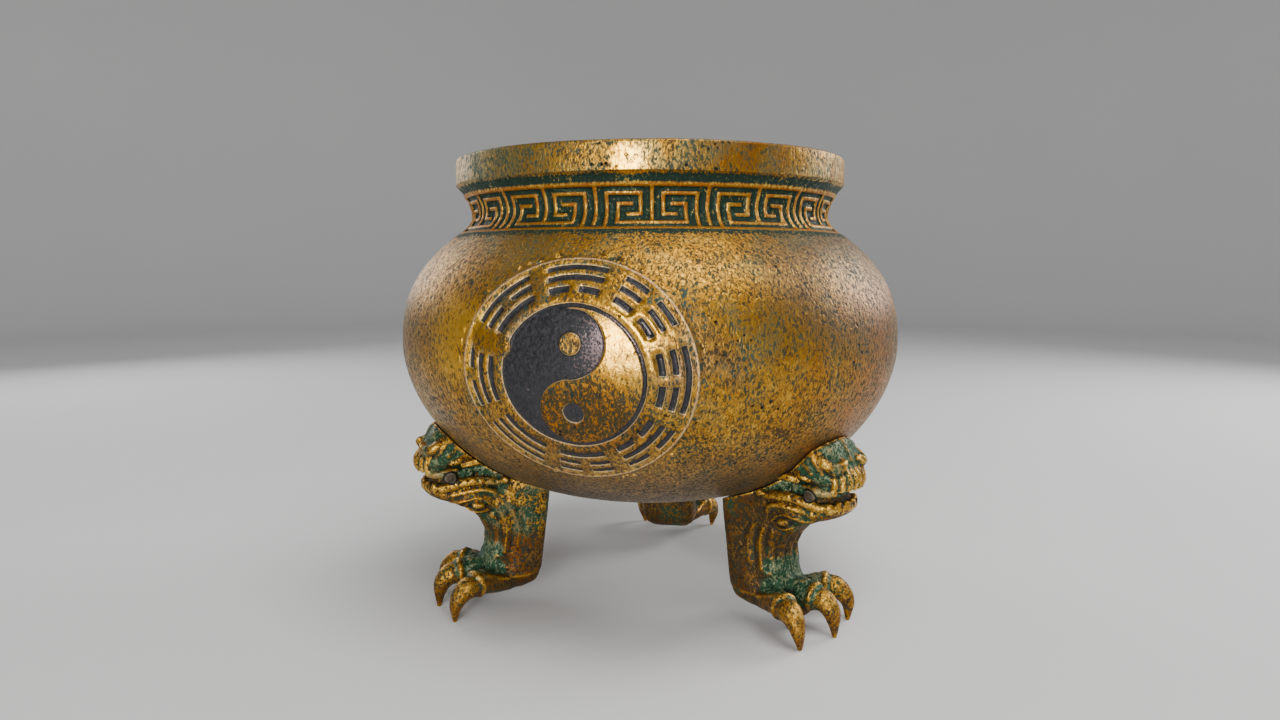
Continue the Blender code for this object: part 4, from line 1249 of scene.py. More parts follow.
    def seat_tool(self) -> Object:
        """The belly's outside with the seam's gap, which a leg is cut back to."""
        along = np.linspace(0.0, 1.0, self.seat_rows) * self.seat.length
        radius, height = self.seat.lifted(along, np.full(len(along), self.seam))
        radius[0] = radius[-1] = 0.0
        shape = bmesh.new()
        spun(shape, [(r * MM, 0.0, h * MM) for r, h in zip(radius, height)], self.seat_steps)
        bmesh.ops.remove_doubles(shape, verts=shape.verts, dist=SAME_POINT * MM)
        bmesh.ops.recalc_face_normals(shape, faces=shape.faces)
        return finished("leg_seat", shape)

    def cut_to_seat(self, skin: Mesh) -> Mesh:
        """Place the skin at azimuth 90, cut it level at the claws and to the belly."""
        shape = bmesh.new()
        shape.from_mesh(skin)
        bmesh.ops.translate(shape, verts=shape.verts, vec=(self.back_radius, 0.0, 0.0))
        bmesh.ops.scale(shape, verts=shape.verts, vec=(MM, MM, MM))
        every = [*shape.verts, *shape.edges, *shape.faces]
        cut = bmesh.ops.bisect_plane(shape, geom=every, plane_co=(0.0, 0.0, 0.0),
                                     plane_no=(0.0, 0.0, -1.0), clear_outer=True)["geom_cut"]
        rims = [item for item in cut if isinstance(item, bmesh.types.BMEdge)]
        bmesh.ops.holes_fill(shape, edges=rims)
        bmesh.ops.recalc_face_normals(shape, faces=shape.faces)
        uncut, seat = finished("leg_uncut", shape), self.seat_tool()
        boolean = uncut.modifiers.new("Seat", "BOOLEAN")
        boolean.object = seat
        boolean.operation = "DIFFERENCE"
        boolean.solver = "EXACT"
        leg = evaluated(uncut)
        bpy.data.objects.remove(seat)
        return leg

    def bright(self, on_leg: Array, normals: Array) -> Array:
        """Where the metal is rubbed bright, from 0 to 1.

        Args:
            on_leg: Points of the leg from its back, folded over its middle plane.
            normals: The leg's normals at these points.

        Returns:
            One value for each point.
        """
        forms, wear = self.forms, self.wear
        gold = [zone.share(np.hstack([on_leg, normals])) for zone in wear.bright]
        gold += [stroke.gold * stroke.shown(on_leg, normals, stroke.width * wear.gold_spread)
                 for stroke in self.strokes if stroke.gold > 0.0]
        for claw in (forms.middle_claw, forms.side_claw):
            near = distance_to_path(on_leg, claw[1:], wear.claw_spread * 2.0)
            gold.append(wear.claw * smoothstep(wear.claw_spread, wear.claw_spread - 1.5, near))
        for strength, band in forms.bands:
            near = distance_to_path(on_leg, band, wear.band_reach)
            edge = float(np.mean([point[3] for point in band]))
            gold.append(strength * smoothstep(edge + 1.0, edge, near))
        for number in range(forms.lip_teeth):
            near = distance_to_path(on_leg, forms.tooth(number), wear.tooth_reach)
            gold.append(smoothstep(*wear.fine_edge, near))
        for (middle, way), radius in forms.cuffs:
            reach = on_leg - np.array(middle)
            cuff = smoothstep(*wear.cuff_line, np.abs(reach @ np.array(way)))
            inside = np.linalg.norm(reach, axis=1) < radius + wear.cuff_margin
            gold.append(wear.cuff * cuff * inside)
        return np.maximum.reduce(gold)

    def mark(self, leg: Mesh) -> None:
        """Store where a leg is bright, green, dark or standing out, for its finish."""
        points, edges = mesh_arrays(leg)
        points /= MM
        normals = mesh_normals(leg)
        broad = relaxed(points, edges, self.wear.ridge_softening)
        ridge = np.einsum("ij,ij->i", points - broad, normals)
        on_leg = folded(points - np.array([self.back_radius, 0.0, 0.0]))
        seam = self.wear.seam * smoothstep(*self.wear.fine_edge, self.seam_distance(points))
        gold = np.maximum(self.bright(on_leg, normals), seam)
        green = self.wear.green_share(np.hstack([on_leg, normals])) * (1.0 - gold)
        dark = np.zeros(len(points))
        for spot, reach, peak in self.forms.dark_spots:
            near = np.linalg.norm(on_leg - np.array(spot), axis=1)
            dark = np.maximum(dark, peak * (1.0 - near / reach))
        for mask, values in ((Mask.RIDGE, ridge), (Mask.GOLD, gold), (Mask.GREEN, green),
                             (Mask.DARK, dark)):
            layer = leg.attributes.new(mask.value, "FLOAT", "POINT")
            layer.data.foreach_set("value", values.astype(np.float32))

    def seam_distance(self, points: Array) -> Array:
        """About how far each point, in millimetres, is from the belly's outside."""
        radius, height = np.hypot(points[:, 0], points[:, 1]), points[:, 2]
        outline = self.seat.outline[len(self.seat.outline) // 2:][::-1]
        across = np.maximum(radius - np.interp(height, outline[:, 1], outline[:, 0]), 0.0)
        below = np.maximum(np.interp(radius, outline[:, 0], outline[:, 1]) - height, 0.0)
        return across * below / np.maximum(np.hypot(across, below), 1e-6)

    def build(self, finish: "LegBronze") -> list[Object]:
        """Make the leg once and set a copy under the bowl for each packed leg.

        Args:
            finish: The finish of the cast metal.

        Returns:
            The finished pieces, in the order of the nodes.
        """
        skin = self.fused()
        self.carve(skin)
        leg = self.cut_to_seat(skin)
        self.mark(leg)
        material = finish.material()
        pieces = []
        for number, node in enumerate(self.nodes):
            mesh = leg.copy()
            azimuth = self.first_azimuth + number * 360.0 / len(self.nodes)
            mesh.transform(Matrix.Rotation(math.radians(azimuth - 90.0), 4, "Z"))
            mesh.shade_smooth()
            mesh.set_sharp_from_angle(angle=math.radians(self.sharp_angle))
            mesh.materials.clear()
            mesh.materials.append(material)
            piece = linked(f"cast_{node}", mesh)
            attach(piece, "root")
            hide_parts(node)
            pieces.append(piece)
        return pieces


def folded(points: Array) -> Array:
    """Points of a leg with the far side folded over its middle plane."""
    return np.column_stack([points[:, 0], np.abs(points[:, 1]), points[:, 2]])


def mesh_arrays(mesh: Mesh) -> tuple[Array, Array]:
    """Vertex places and edges' vertex pairs of a mesh."""
    points = np.empty(len(mesh.vertices) * 3)
    mesh.vertices.foreach_get("co", points)
    edges = np.empty(len(mesh.edges) * 2, dtype=np.int64)
    mesh.edges.foreach_get("vertices", edges)
    return points.reshape(-1, 3), edges.reshape(-1, 2)


def mesh_normals(mesh: Mesh) -> Array:
    """Vertex normals of a mesh, one row each."""
    normals = np.empty(len(mesh.vertices) * 3, dtype=np.float32)
    mesh.vertex_normals.foreach_get("vector", normals)
    return normals.reshape(-1, 3).astype(float)


def set_mesh_places(mesh: Mesh, points: Array) -> None:
    """Move every vertex of a mesh to its row of points."""
    mesh.vertices.foreach_set("co", points.astype(np.float32).ravel())
    mesh.update()


def relaxed(points: Array, edges: Array, rounds: int) -> Array:
    """The points after moving halfway to their neighbours' middle a few times."""
    count = len(points)
    first, second = edges.T
    shares = np.bincount(first, minlength=count) + np.bincount(second, minlength=count)
    for _ in range(rounds):
        total = np.empty_like(points)
        for axis in range(3):
            total[:, axis] = (np.bincount(first, points[second, axis], count)
                              + np.bincount(second, points[first, axis], count))
        points = 0.5 * points + 0.5 * total / np.maximum(shares, 1)[:, None]
    return points


def smooth_run(path: Path, steps: int = 6) -> Array:
    """Points of a smooth curve through the first three values of each of the path's points."""
    known = [np.array(point[:3], dtype=float) for point in path]
    known = [2.0 * known[0] - known[1], *known, 2.0 * known[-1] - known[-2]]
    curve = []
    for a, b, c, d in zip(known, known[1:], known[2:], known[3:]):
        for t in np.arange(steps) / steps:
            curve.append(0.5 * (2.0 * b + (c - a) * t + (2.0 * a - 5.0 * b + 4.0 * c - d) * t**2
                                + (3.0 * b - a - 3.0 * c + d) * t**3))
    return np.array([*curve, known[-2]])


def distance_to_path(points: Array, path: Path, reach: float) -> Array:
    """Distance from each point to a smooth path, or a large value beyond the reach."""
    curve = smooth_run(path)
    low, high = curve.min(axis=0) - reach, curve.max(axis=0) + reach
    near = np.flatnonzero(np.all((points > low) & (points < high), axis=1))
    distance = np.full(len(points), 1e3)
    best = np.full(len(near), 1e6)
    for start, end in zip(curve, curve[1:]):
        way = end - start
        share = np.clip((points[near] - start) @ way / max(way @ way, 1e-9), 0.0, 1.0)
        gap = points[near] - start - share[:, None] * way
        best = np.minimum(best, np.einsum("ij,ij->i", gap, gap))
    distance[near] = np.sqrt(best)
    return distance


# Finishes

Colour = tuple[float, float, float]
Socket = bpy.types.NodeSocket


@dataclass(frozen=True)
class Grain:
    """A noise: its bumps per metre and its character, shifted and stretched."""

    scale: float
    detail: float
    roughness: float
    distortion: float
    shift: Colour = (0.0, 0.0, 0.0)
    stretch: Colour = (1.0, 1.0, 1.0)


@dataclass(frozen=True)
class Spot:
    """A soft ball on the metal: its middle and half sizes in metres, and how it rises.

    From the ball's edge to its middle its share goes from 0 to 1. The spot starts to show at
    one share and reaches its peak at another.
    """

    middle: Colour
    half: Colour
    start: float
    full: float
    peak: float = 1.0


class Shading:
    """Builds the nodes of one material with short calls."""

    def __init__(self, name: str) -> None:
        """Start a material with a Principled shader and Object coordinates."""
        self.material = bpy.data.materials.new(name)
        self.material.use_nodes = True
        self.tree = self.material.node_tree
        self.shader = self.tree.nodes["Principled BSDF"]
        self.object_place = self.tree.nodes.new("ShaderNodeTexCoord").outputs["Object"]

    def feed(self, socket: Socket, value: "Socket | float | Colour") -> None:
        """Link a socket, or set its own value."""
        if isinstance(value, bpy.types.NodeSocket):
            self.tree.links.new(value, socket)
        else:
            socket.default_value = (*value, 1.0) if socket.type == "RGBA" else value

    def node(self, kind: str, **inputs: "Socket | float | Colour") -> bpy.types.Node:
        """A new node of this kind, with these inputs fed."""
        node = self.tree.nodes.new(f"ShaderNode{kind}")
        for name, value in inputs.items():
            self.feed(node.inputs[name.replace("_", " ")], value)
        return node

    def mapped(self, place: Colour, scale: Colour, kind: str = "POINT") -> Socket:
        """Object coordinates, moved and scaled by a Mapping node of this kind."""
        mapping = self.node("Mapping", Vector=self.object_place, Location=place, Scale=scale)
        mapping.vector_type = kind
        return mapping.outputs["Vector"]

    def noise(self, grain: Grain) -> Socket:
        """Noise with the scale and character of this grain."""
        node = self.node("TexNoise", Vector=self.mapped(grain.shift, grain.stretch),
                         Scale=grain.scale, Detail=grain.detail, Roughness=grain.roughness,
                         Distortion=grain.distortion)
        return node.outputs["Fac"]

    def pits(self, scale: float, full: float, edge: float) -> Socket:
        """Scattered round pits, this many per metre: 1 up to full from their middles, 0 at edge."""
        node = self.node("TexVoronoi", Vector=self.object_place, Scale=scale)
        return self.step(node.outputs["Distance"], full, edge, 1.0, 0.0)

    def spot(self, spot: Spot) -> Socket:
        """One spot, from 0 outside it to its peak."""
        node = self.node("TexGradient", Vector=self.mapped(spot.middle, spot.half, "TEXTURE"))
        node.gradient_type = "SPHERICAL"
        return self.step(node.outputs["Fac"], spot.start, spot.full, 0.0, spot.peak)

    def step(self, value: Socket, low: float, high: float, start: float = 0.0,
             end: float = 1.0) -> Socket:
        """A soft step of value, from start at low to end at high."""
        node = self.node("MapRange", Value=value, From_Min=low, From_Max=high, To_Min=start,
                         To_Max=end)
        node.interpolation_type = "SMOOTHSTEP"
        return node.outputs["Result"]

    def maths(self, operation: str, first: "Socket | float", second: "Socket | float") -> Socket:
        """A Math node."""
        node = self.node("Math")
        node.operation = operation
        self.feed(node.inputs[0], first)
        self.feed(node.inputs[1], second)
        return node.outputs["Value"]

    def times(self, first: Socket, second: "Socket | float") -> Socket:
        """The product of two values."""
        return self.maths("MULTIPLY", first, second)

    def plus(self, value: Socket, other: Socket, share: float = 1.0) -> Socket:
        """The value with this share of another one added."""
        return self.maths("ADD", value, other if share == 1.0 else self.times(other, share))

    def sway(self, value: Socket, noise: Socket, share: float) -> Socket:
        """The value moved up and down by this share of a noise."""
        return self.plus(value, self.maths("SUBTRACT", noise, 0.5), share)

    def rest(self, value: Socket) -> Socket:
        """What the value leaves of 1."""
        return self.maths("SUBTRACT", 1.0, value)

    def most(self, first: Socket, *others: "Socket | float") -> Socket:
        """The highest of some values."""
        for other in others:
            first = self.maths("MAXIMUM", first, other)
        return first

    def blend(self, share: Socket, first: "Socket | Colour", second: "Socket | Colour",
              strength: float = 1.0) -> Socket:
        """The first colour with a share of the second over it, at this strength."""
        node = self.node("Mix")
        node.data_type = "RGBA"
        self.feed(node.inputs["Factor"], share if strength == 1.0 else self.times(share, strength))
        self.feed(node.inputs[6], first)
        self.feed(node.inputs[7], second)
        return node.outputs[2]

    def mask(self, mask: Mask) -> Socket:
        """A vertex attribute."""
        node = self.node("Attribute")
        node.attribute_name = mask.value
        return node.outputs["Fac"]

    def height(self) -> Socket:
        """Height over the ground, in metres."""
        return self.node("SeparateXYZ", Vector=self.object_place).outputs["Z"]

    def bump(self, heights: Iterable[tuple[Socket, float]]) -> None:
        """Stack bumps, each a height and how deep it is in millimetres."""
        below = None
        for height, depth in heights:
            node = self.node("Bump", Strength=1.0, Distance=depth * MM, Height=height)
            if below is not None:
                self.feed(node.inputs["Normal"], below)
            below = node.outputs["Normal"]
        self.feed(self.shader.inputs["Normal"], below)

    def surface(self, colour: Socket, metal: Socket, dull: Socket,
                glance: float) -> Material:
        """Feed the shader's colour, metal and roughness, set its glance, and give the material."""
        self.feed(self.shader.inputs["Base Color"], colour)
        self.feed(self.shader.inputs["Metallic"], metal)
        self.feed(self.shader.inputs["Roughness"], dull)
        self.shader.inputs["Specular IOR Level"].default_value = glance
        return self.material


@dataclass(frozen=True)
class BowlBronze:
    """Worn gilt bronze: a fine grain of gold over brown, grey and green patina, with painted
    highlights and sheen, and painted shade under the belly.
    """

    gold: Colour = (0.42, 0.195, 0.012)
    bright: Colour = (0.70, 0.42, 0.060)
    orange: Colour = (0.38, 0.125, 0.008)
    amber: Colour = (0.72, 0.36, 0.010)
    sage: Colour = (0.27, 0.225, 0.085)
    # Grey for the painted sheen at the belly's edges and right shoulder, the painted shade under
    # the belly, and grey clouds.
    cloud_sheen_and_shade_grey: Colour = (0.19, 0.155, 0.122)
    brown: Colour = (0.062, 0.038, 0.010)
    olive: Colour = (0.050, 0.048, 0.018)
    # Dark grey for the same painted sheen, painted shade and clouds where the gold is gone.
    dark_cloud_sheen_and_shade_grey: Colour = (0.036, 0.030, 0.026)
    teal: Colour = (0.030, 0.068, 0.050)
    green: Colour = (0.006, 0.022, 0.013)
    pale_green: Colour = (0.028, 0.062, 0.040)
    black: Colour = (0.006, 0.006, 0.006)
    slate: Colour = (0.027, 0.027, 0.030)
    # Pale pink for the painted highlight on the disc's slate floors.
    floor_highlight_pink: Colour = (0.135, 0.092, 0.088)
    # Pale gold for the disc's raised line, and for the painted highlight along the walls of its
    # hollows.
    edge: Colour = (0.62, 0.48, 0.28)
    glance: float = 0.25
    grain: Grain = Grain(940.0, 2.5, 0.55, 0.9, stretch=(1.0, 1.0, 0.55))
    grit: Grain = Grain(2300.0, 2.0, 0.6, 0.3)
    patches: Grain = Grain(38.0, 5.0, 0.62, 0.5)
    clouds: Grain = Grain(13.0, 3.0, 0.5, 0.3, (3.1, 0.4, 1.7))
    drips: Grain = Grain(70.0, 4.0, 0.6, 0.9, (0.7, 2.0, 0.3), (1.0, 1.0, 0.35))
    teal_patches: Grain = Grain(150.0, 4.0, 0.6, 0.5, (5.0, 1.0, 2.0))
    pocked_patches: Grain = Grain(48.0, 3.0, 0.6, 0.0, (9.0, 0.0, 4.0))
    bloom_patches: Grain = Grain(30.0, 5.0, 0.65, 0.6, (4.0, 1.5, 0.2))
    # Grain of the painted highlight on the slate floors.
    floor_highlight_grain: Grain = Grain(1250.0, 2.0, 0.6, 0.2)
    pits_per_metre: float = 330.0
    # Polished spots on the belly and the rim, set where the key lamp's highlight falls: smoother
    # metal there, and the gold painted brighter as a painted highlight.
    polish_and_highlight_spots: tuple[Spot, Spot] = (
        Spot((0.021, -0.112, 0.130), (0.020, 0.03, 0.021), 0.0, 0.7),
        Spot((0.0145, -0.089, 0.1945), (0.010, 0.03, 0.013), 0.0, 0.8),
    )
    # Darker and more orange over the lower middle of the belly, below the disc's middle.
    darker_low_middle_spot: Spot = Spot((0.002, -0.113, 0.099), (0.034, 0.03, 0.022), 0.0, 0.6)
    amber_glow: Spot = Spot((-0.047, -0.103, 0.128), (0.024, 0.03, 0.026), 0.05, 0.6)
    warm_places: tuple[Spot, Spot] = (
        Spot((0.115, 0.0, 0.105), (0.10, 0.12, 0.085), 0.05, 0.5),
        Spot((0.052, -0.075, 0.198), (0.03, 0.04, 0.016), 0.05, 0.4),
    )
    blaze: Spot = Spot((0.107, -0.036, 0.117), (0.030, 0.036, 0.044), 0.0, 0.6, 0.9)
    pocked_rim: Spot = Spot((0.006, -0.089, 0.1945), (0.012, 0.03, 0.012), 0.0, 0.5)
    # Where the key lamp's highlight falls on the disc's slate floors, painted in pale pink.
    floor_highlight_spot: Spot = Spot((0.016, -0.112, 0.127), (0.021, 0.03, 0.021), 0.0, 0.75, 0.22)
    rim_bloom: Spot = Spot((-0.052, -0.074, 0.195), (0.034, 0.034, 0.018), 0.0, 0.5)
    front_bloom: Spot = Spot((0.055, -0.100, 0.135), (0.028, 0.05, 0.034), 0.0, 0.6, 0.8)
    # Painted sheen: grey at the belly's left and right edges and over its right shoulder.
    painted_sheen_places: tuple[Spot, Spot, Spot] = (
        Spot((-0.118, -0.01, 0.128), (0.060, 0.10, 0.060), 0.02, 0.45),
        Spot((0.098, -0.05, 0.152), (0.062, 0.065, 0.036), 0.02, 0.5, 0.6),
        Spot((0.113, 0.026, 0.118), (0.030, 0.036, 0.060), 0.0, 0.6),
    )

    def material(self) -> Material:
        """Build the node material."""
        return GiltCoat(self).material()


class GiltCoat:
    """The node layers of the bowl's metal, made from the values of its finish."""

    def __init__(self, look: BowlBronze) -> None:
        """Make the layers that the colour, the gloss and the bumps share."""
        self.look = look
        s = self.s = Shading("worn_gilt_bronze")
        self.patch, self.cloud, self.drip = map(s.noise, (look.patches, look.clouds, look.drips))
        self.polish_and_highlight = s.most(*map(s.spot, look.polish_and_highlight_spots))
        self.low_middle_darkening = s.spot(look.darker_low_middle_spot)
        self.glow = s.times(s.spot(look.amber_glow), s.step(self.patch, 0.36, 0.52))
        worn = s.sway(s.sway(s.noise(look.grain), self.patch, 0.30), s.noise(look.grit), 0.22)
        # Painted highlight: the polished spots push the grain towards bright gold.
        worn = s.plus(s.plus(worn, self.polish_and_highlight, 0.14), self.low_middle_darkening, -0.115)
        self.worn = s.plus(worn, self.glow, 0.035)
        self.raised, self.sunk, self.green = map(s.mask, (Mask.RAISED, Mask.SUNK, Mask.GREEN))
        self.strokes = s.step(s.plus(self.raised, self.worn, 0.7), 0.84, 1.20)
        covered = s.step(s.sway(self.green, self.worn, -2.4), 0.40, 0.66)
        self.covered = s.times(covered, s.rest(self.strokes))
        self.floor = s.step(self.sunk, 0.55, 0.85)
        pocked = s.most(s.step(s.noise(look.pocked_patches), 0.50, 0.62), s.spot(look.pocked_rim))
        self.pitted = s.times(s.pits(look.pits_per_metre, 0.14, 0.30), pocked)

    def warmth(self) -> Socket:
        """Where the gilding is orange."""
        s = self.s
        warm = s.times(s.most(*map(s.spot, self.look.warm_places)), s.step(self.patch, 0.40, 0.60))
        return s.most(warm, s.times(self.low_middle_darkening, 0.9), s.spot(self.look.blaze))

    def bloom(self) -> Socket:
        """Where the gilding has a green bloom: under the neck, in drips and patches."""
        s, look = self.s, self.look
        neck = s.step(s.height(), 0.138, 0.168, 0.0, 0.75)
        where = s.most(neck, s.spot(look.front_bloom), 0.32)
        patch = s.step(s.noise(look.bloom_patches), 0.40, 0.60)
        spread = s.times(s.times(where, patch), s.step(self.drip, 0.36, 0.54))
        return s.most(spread, s.spot(look.rim_bloom))

    def cloud_sheen_and_shade_greying(self) -> Socket:
        """Where the colour is greyed: greyer and darker under the belly as painted shade, grey at
        the left and right edges and over the right shoulder as painted sheen, and in random grey
        clouds.
        """
        s = self.s
        # Painted shade: the colour greys and darkens towards the underside.
        under = s.step(s.height(), 0.056, 0.100, 1.0, 0.0)
        over = s.times(s.most(under, *map(s.spot, self.look.painted_sheen_places)), 0.85)
        grey = s.most(over, s.step(self.cloud, 0.54, 0.70, 0.0, 0.6))
        return s.times(grey, s.rest(self.glow))

    def gilding(self, warm: Socket, bloom: Socket, cloud_sheen_and_shade_grey: Socket) -> Socket:
        """The colour of the gold that is left."""
        s, look = self.s, self.look
        light = s.blend(warm, look.gold, look.orange, 0.8)
        light = s.blend(bloom, light, look.sage, 0.75)
        # Painted sheen and shade, and grey clouds, grey the gold.
        light = s.blend(cloud_sheen_and_shade_grey, light, look.cloud_sheen_and_shade_grey, 0.9)
        return s.blend(self.glow, light, look.amber, 0.8)

    def patina(self, bloom: Socket, cloud_sheen_and_shade_grey: Socket) -> Socket:
        """The colour of the metal where the gold is gone."""
        s, look = self.s, self.look
        dark = s.blend(s.step(self.drip, 0.42, 0.60), look.brown, look.olive)
        dark = s.blend(bloom, dark, look.teal, 0.85)
        teal = s.times(s.step(s.noise(look.teal_patches), 0.50, 0.62),
                       s.step(self.cloud, 0.38, 0.58))
        # Painted sheen and shade, and grey clouds, grey the patina.
        dark = s.blend(cloud_sheen_and_shade_grey, s.blend(teal, dark, look.teal), look.dark_cloud_sheen_and_shade_grey)
        return s.blend(self.low_middle_darkening, dark, look.brown, 0.8)

    def plain(self) -> Socket:
        """The colour away from the carving: gold over patina, with glints and black pits."""
        s, look = self.s, self.look
        warm, bloom, cloud_sheen_and_shade_grey = self.warmth(), self.bloom(), self.cloud_sheen_and_shade_greying()
        colour = s.blend(s.step(self.worn, 0.40, 0.555), self.patina(bloom, cloud_sheen_and_shade_grey),
                         self.gilding(warm, bloom, cloud_sheen_and_shade_grey))
        glint = s.times(s.step(self.worn, 0.585, 0.68), s.rest(warm))
        colour = s.blend(glint, colour, look.bright, 0.75)
        return s.blend(self.pitted, colour, look.black)

    def fretted(self, colour: Socket) -> Socket:
        """The colour with the neck's green ground and the rubbed strokes on it."""
        s, look = self.s, self.look
        ground = s.blend(s.step(self.worn, 0.48, 0.64), look.green, look.pale_green)
        rubbed = s.blend(s.step(self.worn, 0.42, 0.66), look.orange, look.bright)
        return s.blend(self.strokes, s.blend(self.covered, colour, ground), rubbed, 0.85)

    def carved(self, colour: Socket) -> Socket:
        """The colour with the disc's bright raised line, a painted highlight along the walls of its
        hollows, slate hollows with a painted highlight in pale pink near the key lamp's highlight,
        and crusts.
        """
        s, look = self.s, self.look
        line = s.times(s.step(self.raised, 0.3, 0.9), s.rest(self.green))
        line = s.times(line, s.step(self.worn, 0.40, 0.56, 0.22, 0.65))
        colour = s.blend(line, colour, look.edge)
        # Painted highlight: a pale line along the walls of the sunk bars and the whirl, where light
        # catches them.
        wall = s.times(s.step(self.sunk, 0.06, 0.26), s.step(self.sunk, 0.46, 0.68, 1.0, 0.0))
        colour = s.blend(wall, colour, look.edge, 0.48)
        # Painted highlight: pale pink blotches on the slate floors where the key lamp's highlight
        # falls.
        floor_highlight = s.step(s.plus(s.spot(look.floor_highlight_spot), s.noise(look.floor_highlight_grain)), 0.64, 0.74)
        colour = s.blend(self.floor, colour, s.blend(floor_highlight, look.slate, look.floor_highlight_pink))
        scab = s.blend(s.step(self.worn, 0.44, 0.60), look.brown, look.gold)
        return s.blend(s.mask(Mask.CRUST), colour, scab, 0.8)

    def material(self) -> Material:
        """Join the layers into the finished material."""
        s = self.s
        metal = s.step(self.worn, 0.44, 0.55, 0.45, 0.96)
        metal = s.plus(s.plus(metal, self.covered, -0.5), self.floor, -0.4)
        dull = s.step(self.worn, 0.40, 0.60, 0.56, 0.36)
        dull = s.plus(s.plus(dull, self.covered, 0.15), self.polish_and_highlight, -0.14)
        rugged = s.rest(s.most(s.times(self.floor, 0.85), s.times(self.polish_and_highlight, 0.8)))
        s.bump([(s.times(self.patch, rugged), 0.4), (s.times(self.worn, rugged), 0.26),
                (s.times(self.pitted, -1.0), 0.15)])
        return s.surface(self.carved(self.fretted(self.plain())), metal, dull, self.look.glance)


@dataclass(frozen=True)
class LegBronze:
    """Cast bronze in a brown and green patina, bright on its ridges and claws, with painted shade
    in black in its cuts.
    """

    gold: Colour = (0.25, 0.125, 0.020)
    bright: Colour = (0.50, 0.245, 0.018)
    glint: Colour = (0.80, 0.54, 0.13)
    rust: Colour = (0.155, 0.055, 0.009)
    brown: Colour = (0.040, 0.026, 0.011)
    olive: Colour = (0.032, 0.034, 0.018)
    green: Colour = (0.017, 0.060, 0.027)
    pale_green: Colour = (0.190, 0.220, 0.120)
    # Black for the pits, the ring round the bead, and the painted shade in the cuts.
    black: Colour = (0.008, 0.010, 0.008)
    bead: Colour = (0.110, 0.088, 0.066)
    glance: float = 0.25
    grain: Grain = Grain(1000.0, 2.5, 0.55, 0.8, stretch=(1.0, 1.0, 0.7))
    grit: Grain = Grain(2300.0, 2.0, 0.6, 0.3)
    patches: Grain = Grain(90.0, 4.0, 0.6, 0.4)
    blotches: Grain = Grain(125.0, 4.0, 0.6, 0.6, (3.0, 7.0, 2.0))
    dirt_grain: Grain = Grain(420.0, 3.0, 0.6, 0.7, (6.0, 2.0, 8.0))
    wet_patches: Grain = Grain(55.0, 4.0, 0.6, 0.4, (2.0, 5.0, 1.0))
    pocked_patches: Grain = Grain(160.0, 3.0, 0.6, 0.0, (4.0, 0.0, 4.0))
    pits_per_metre: float = 620.0
    crusted: Spot = Spot((-0.046, -0.049, 0.054), (0.034, 0.034, 0.026), 0.10, 0.35)

    def material(self) -> Material:
        """Build the node material."""
        return GreenCoat(self).material()


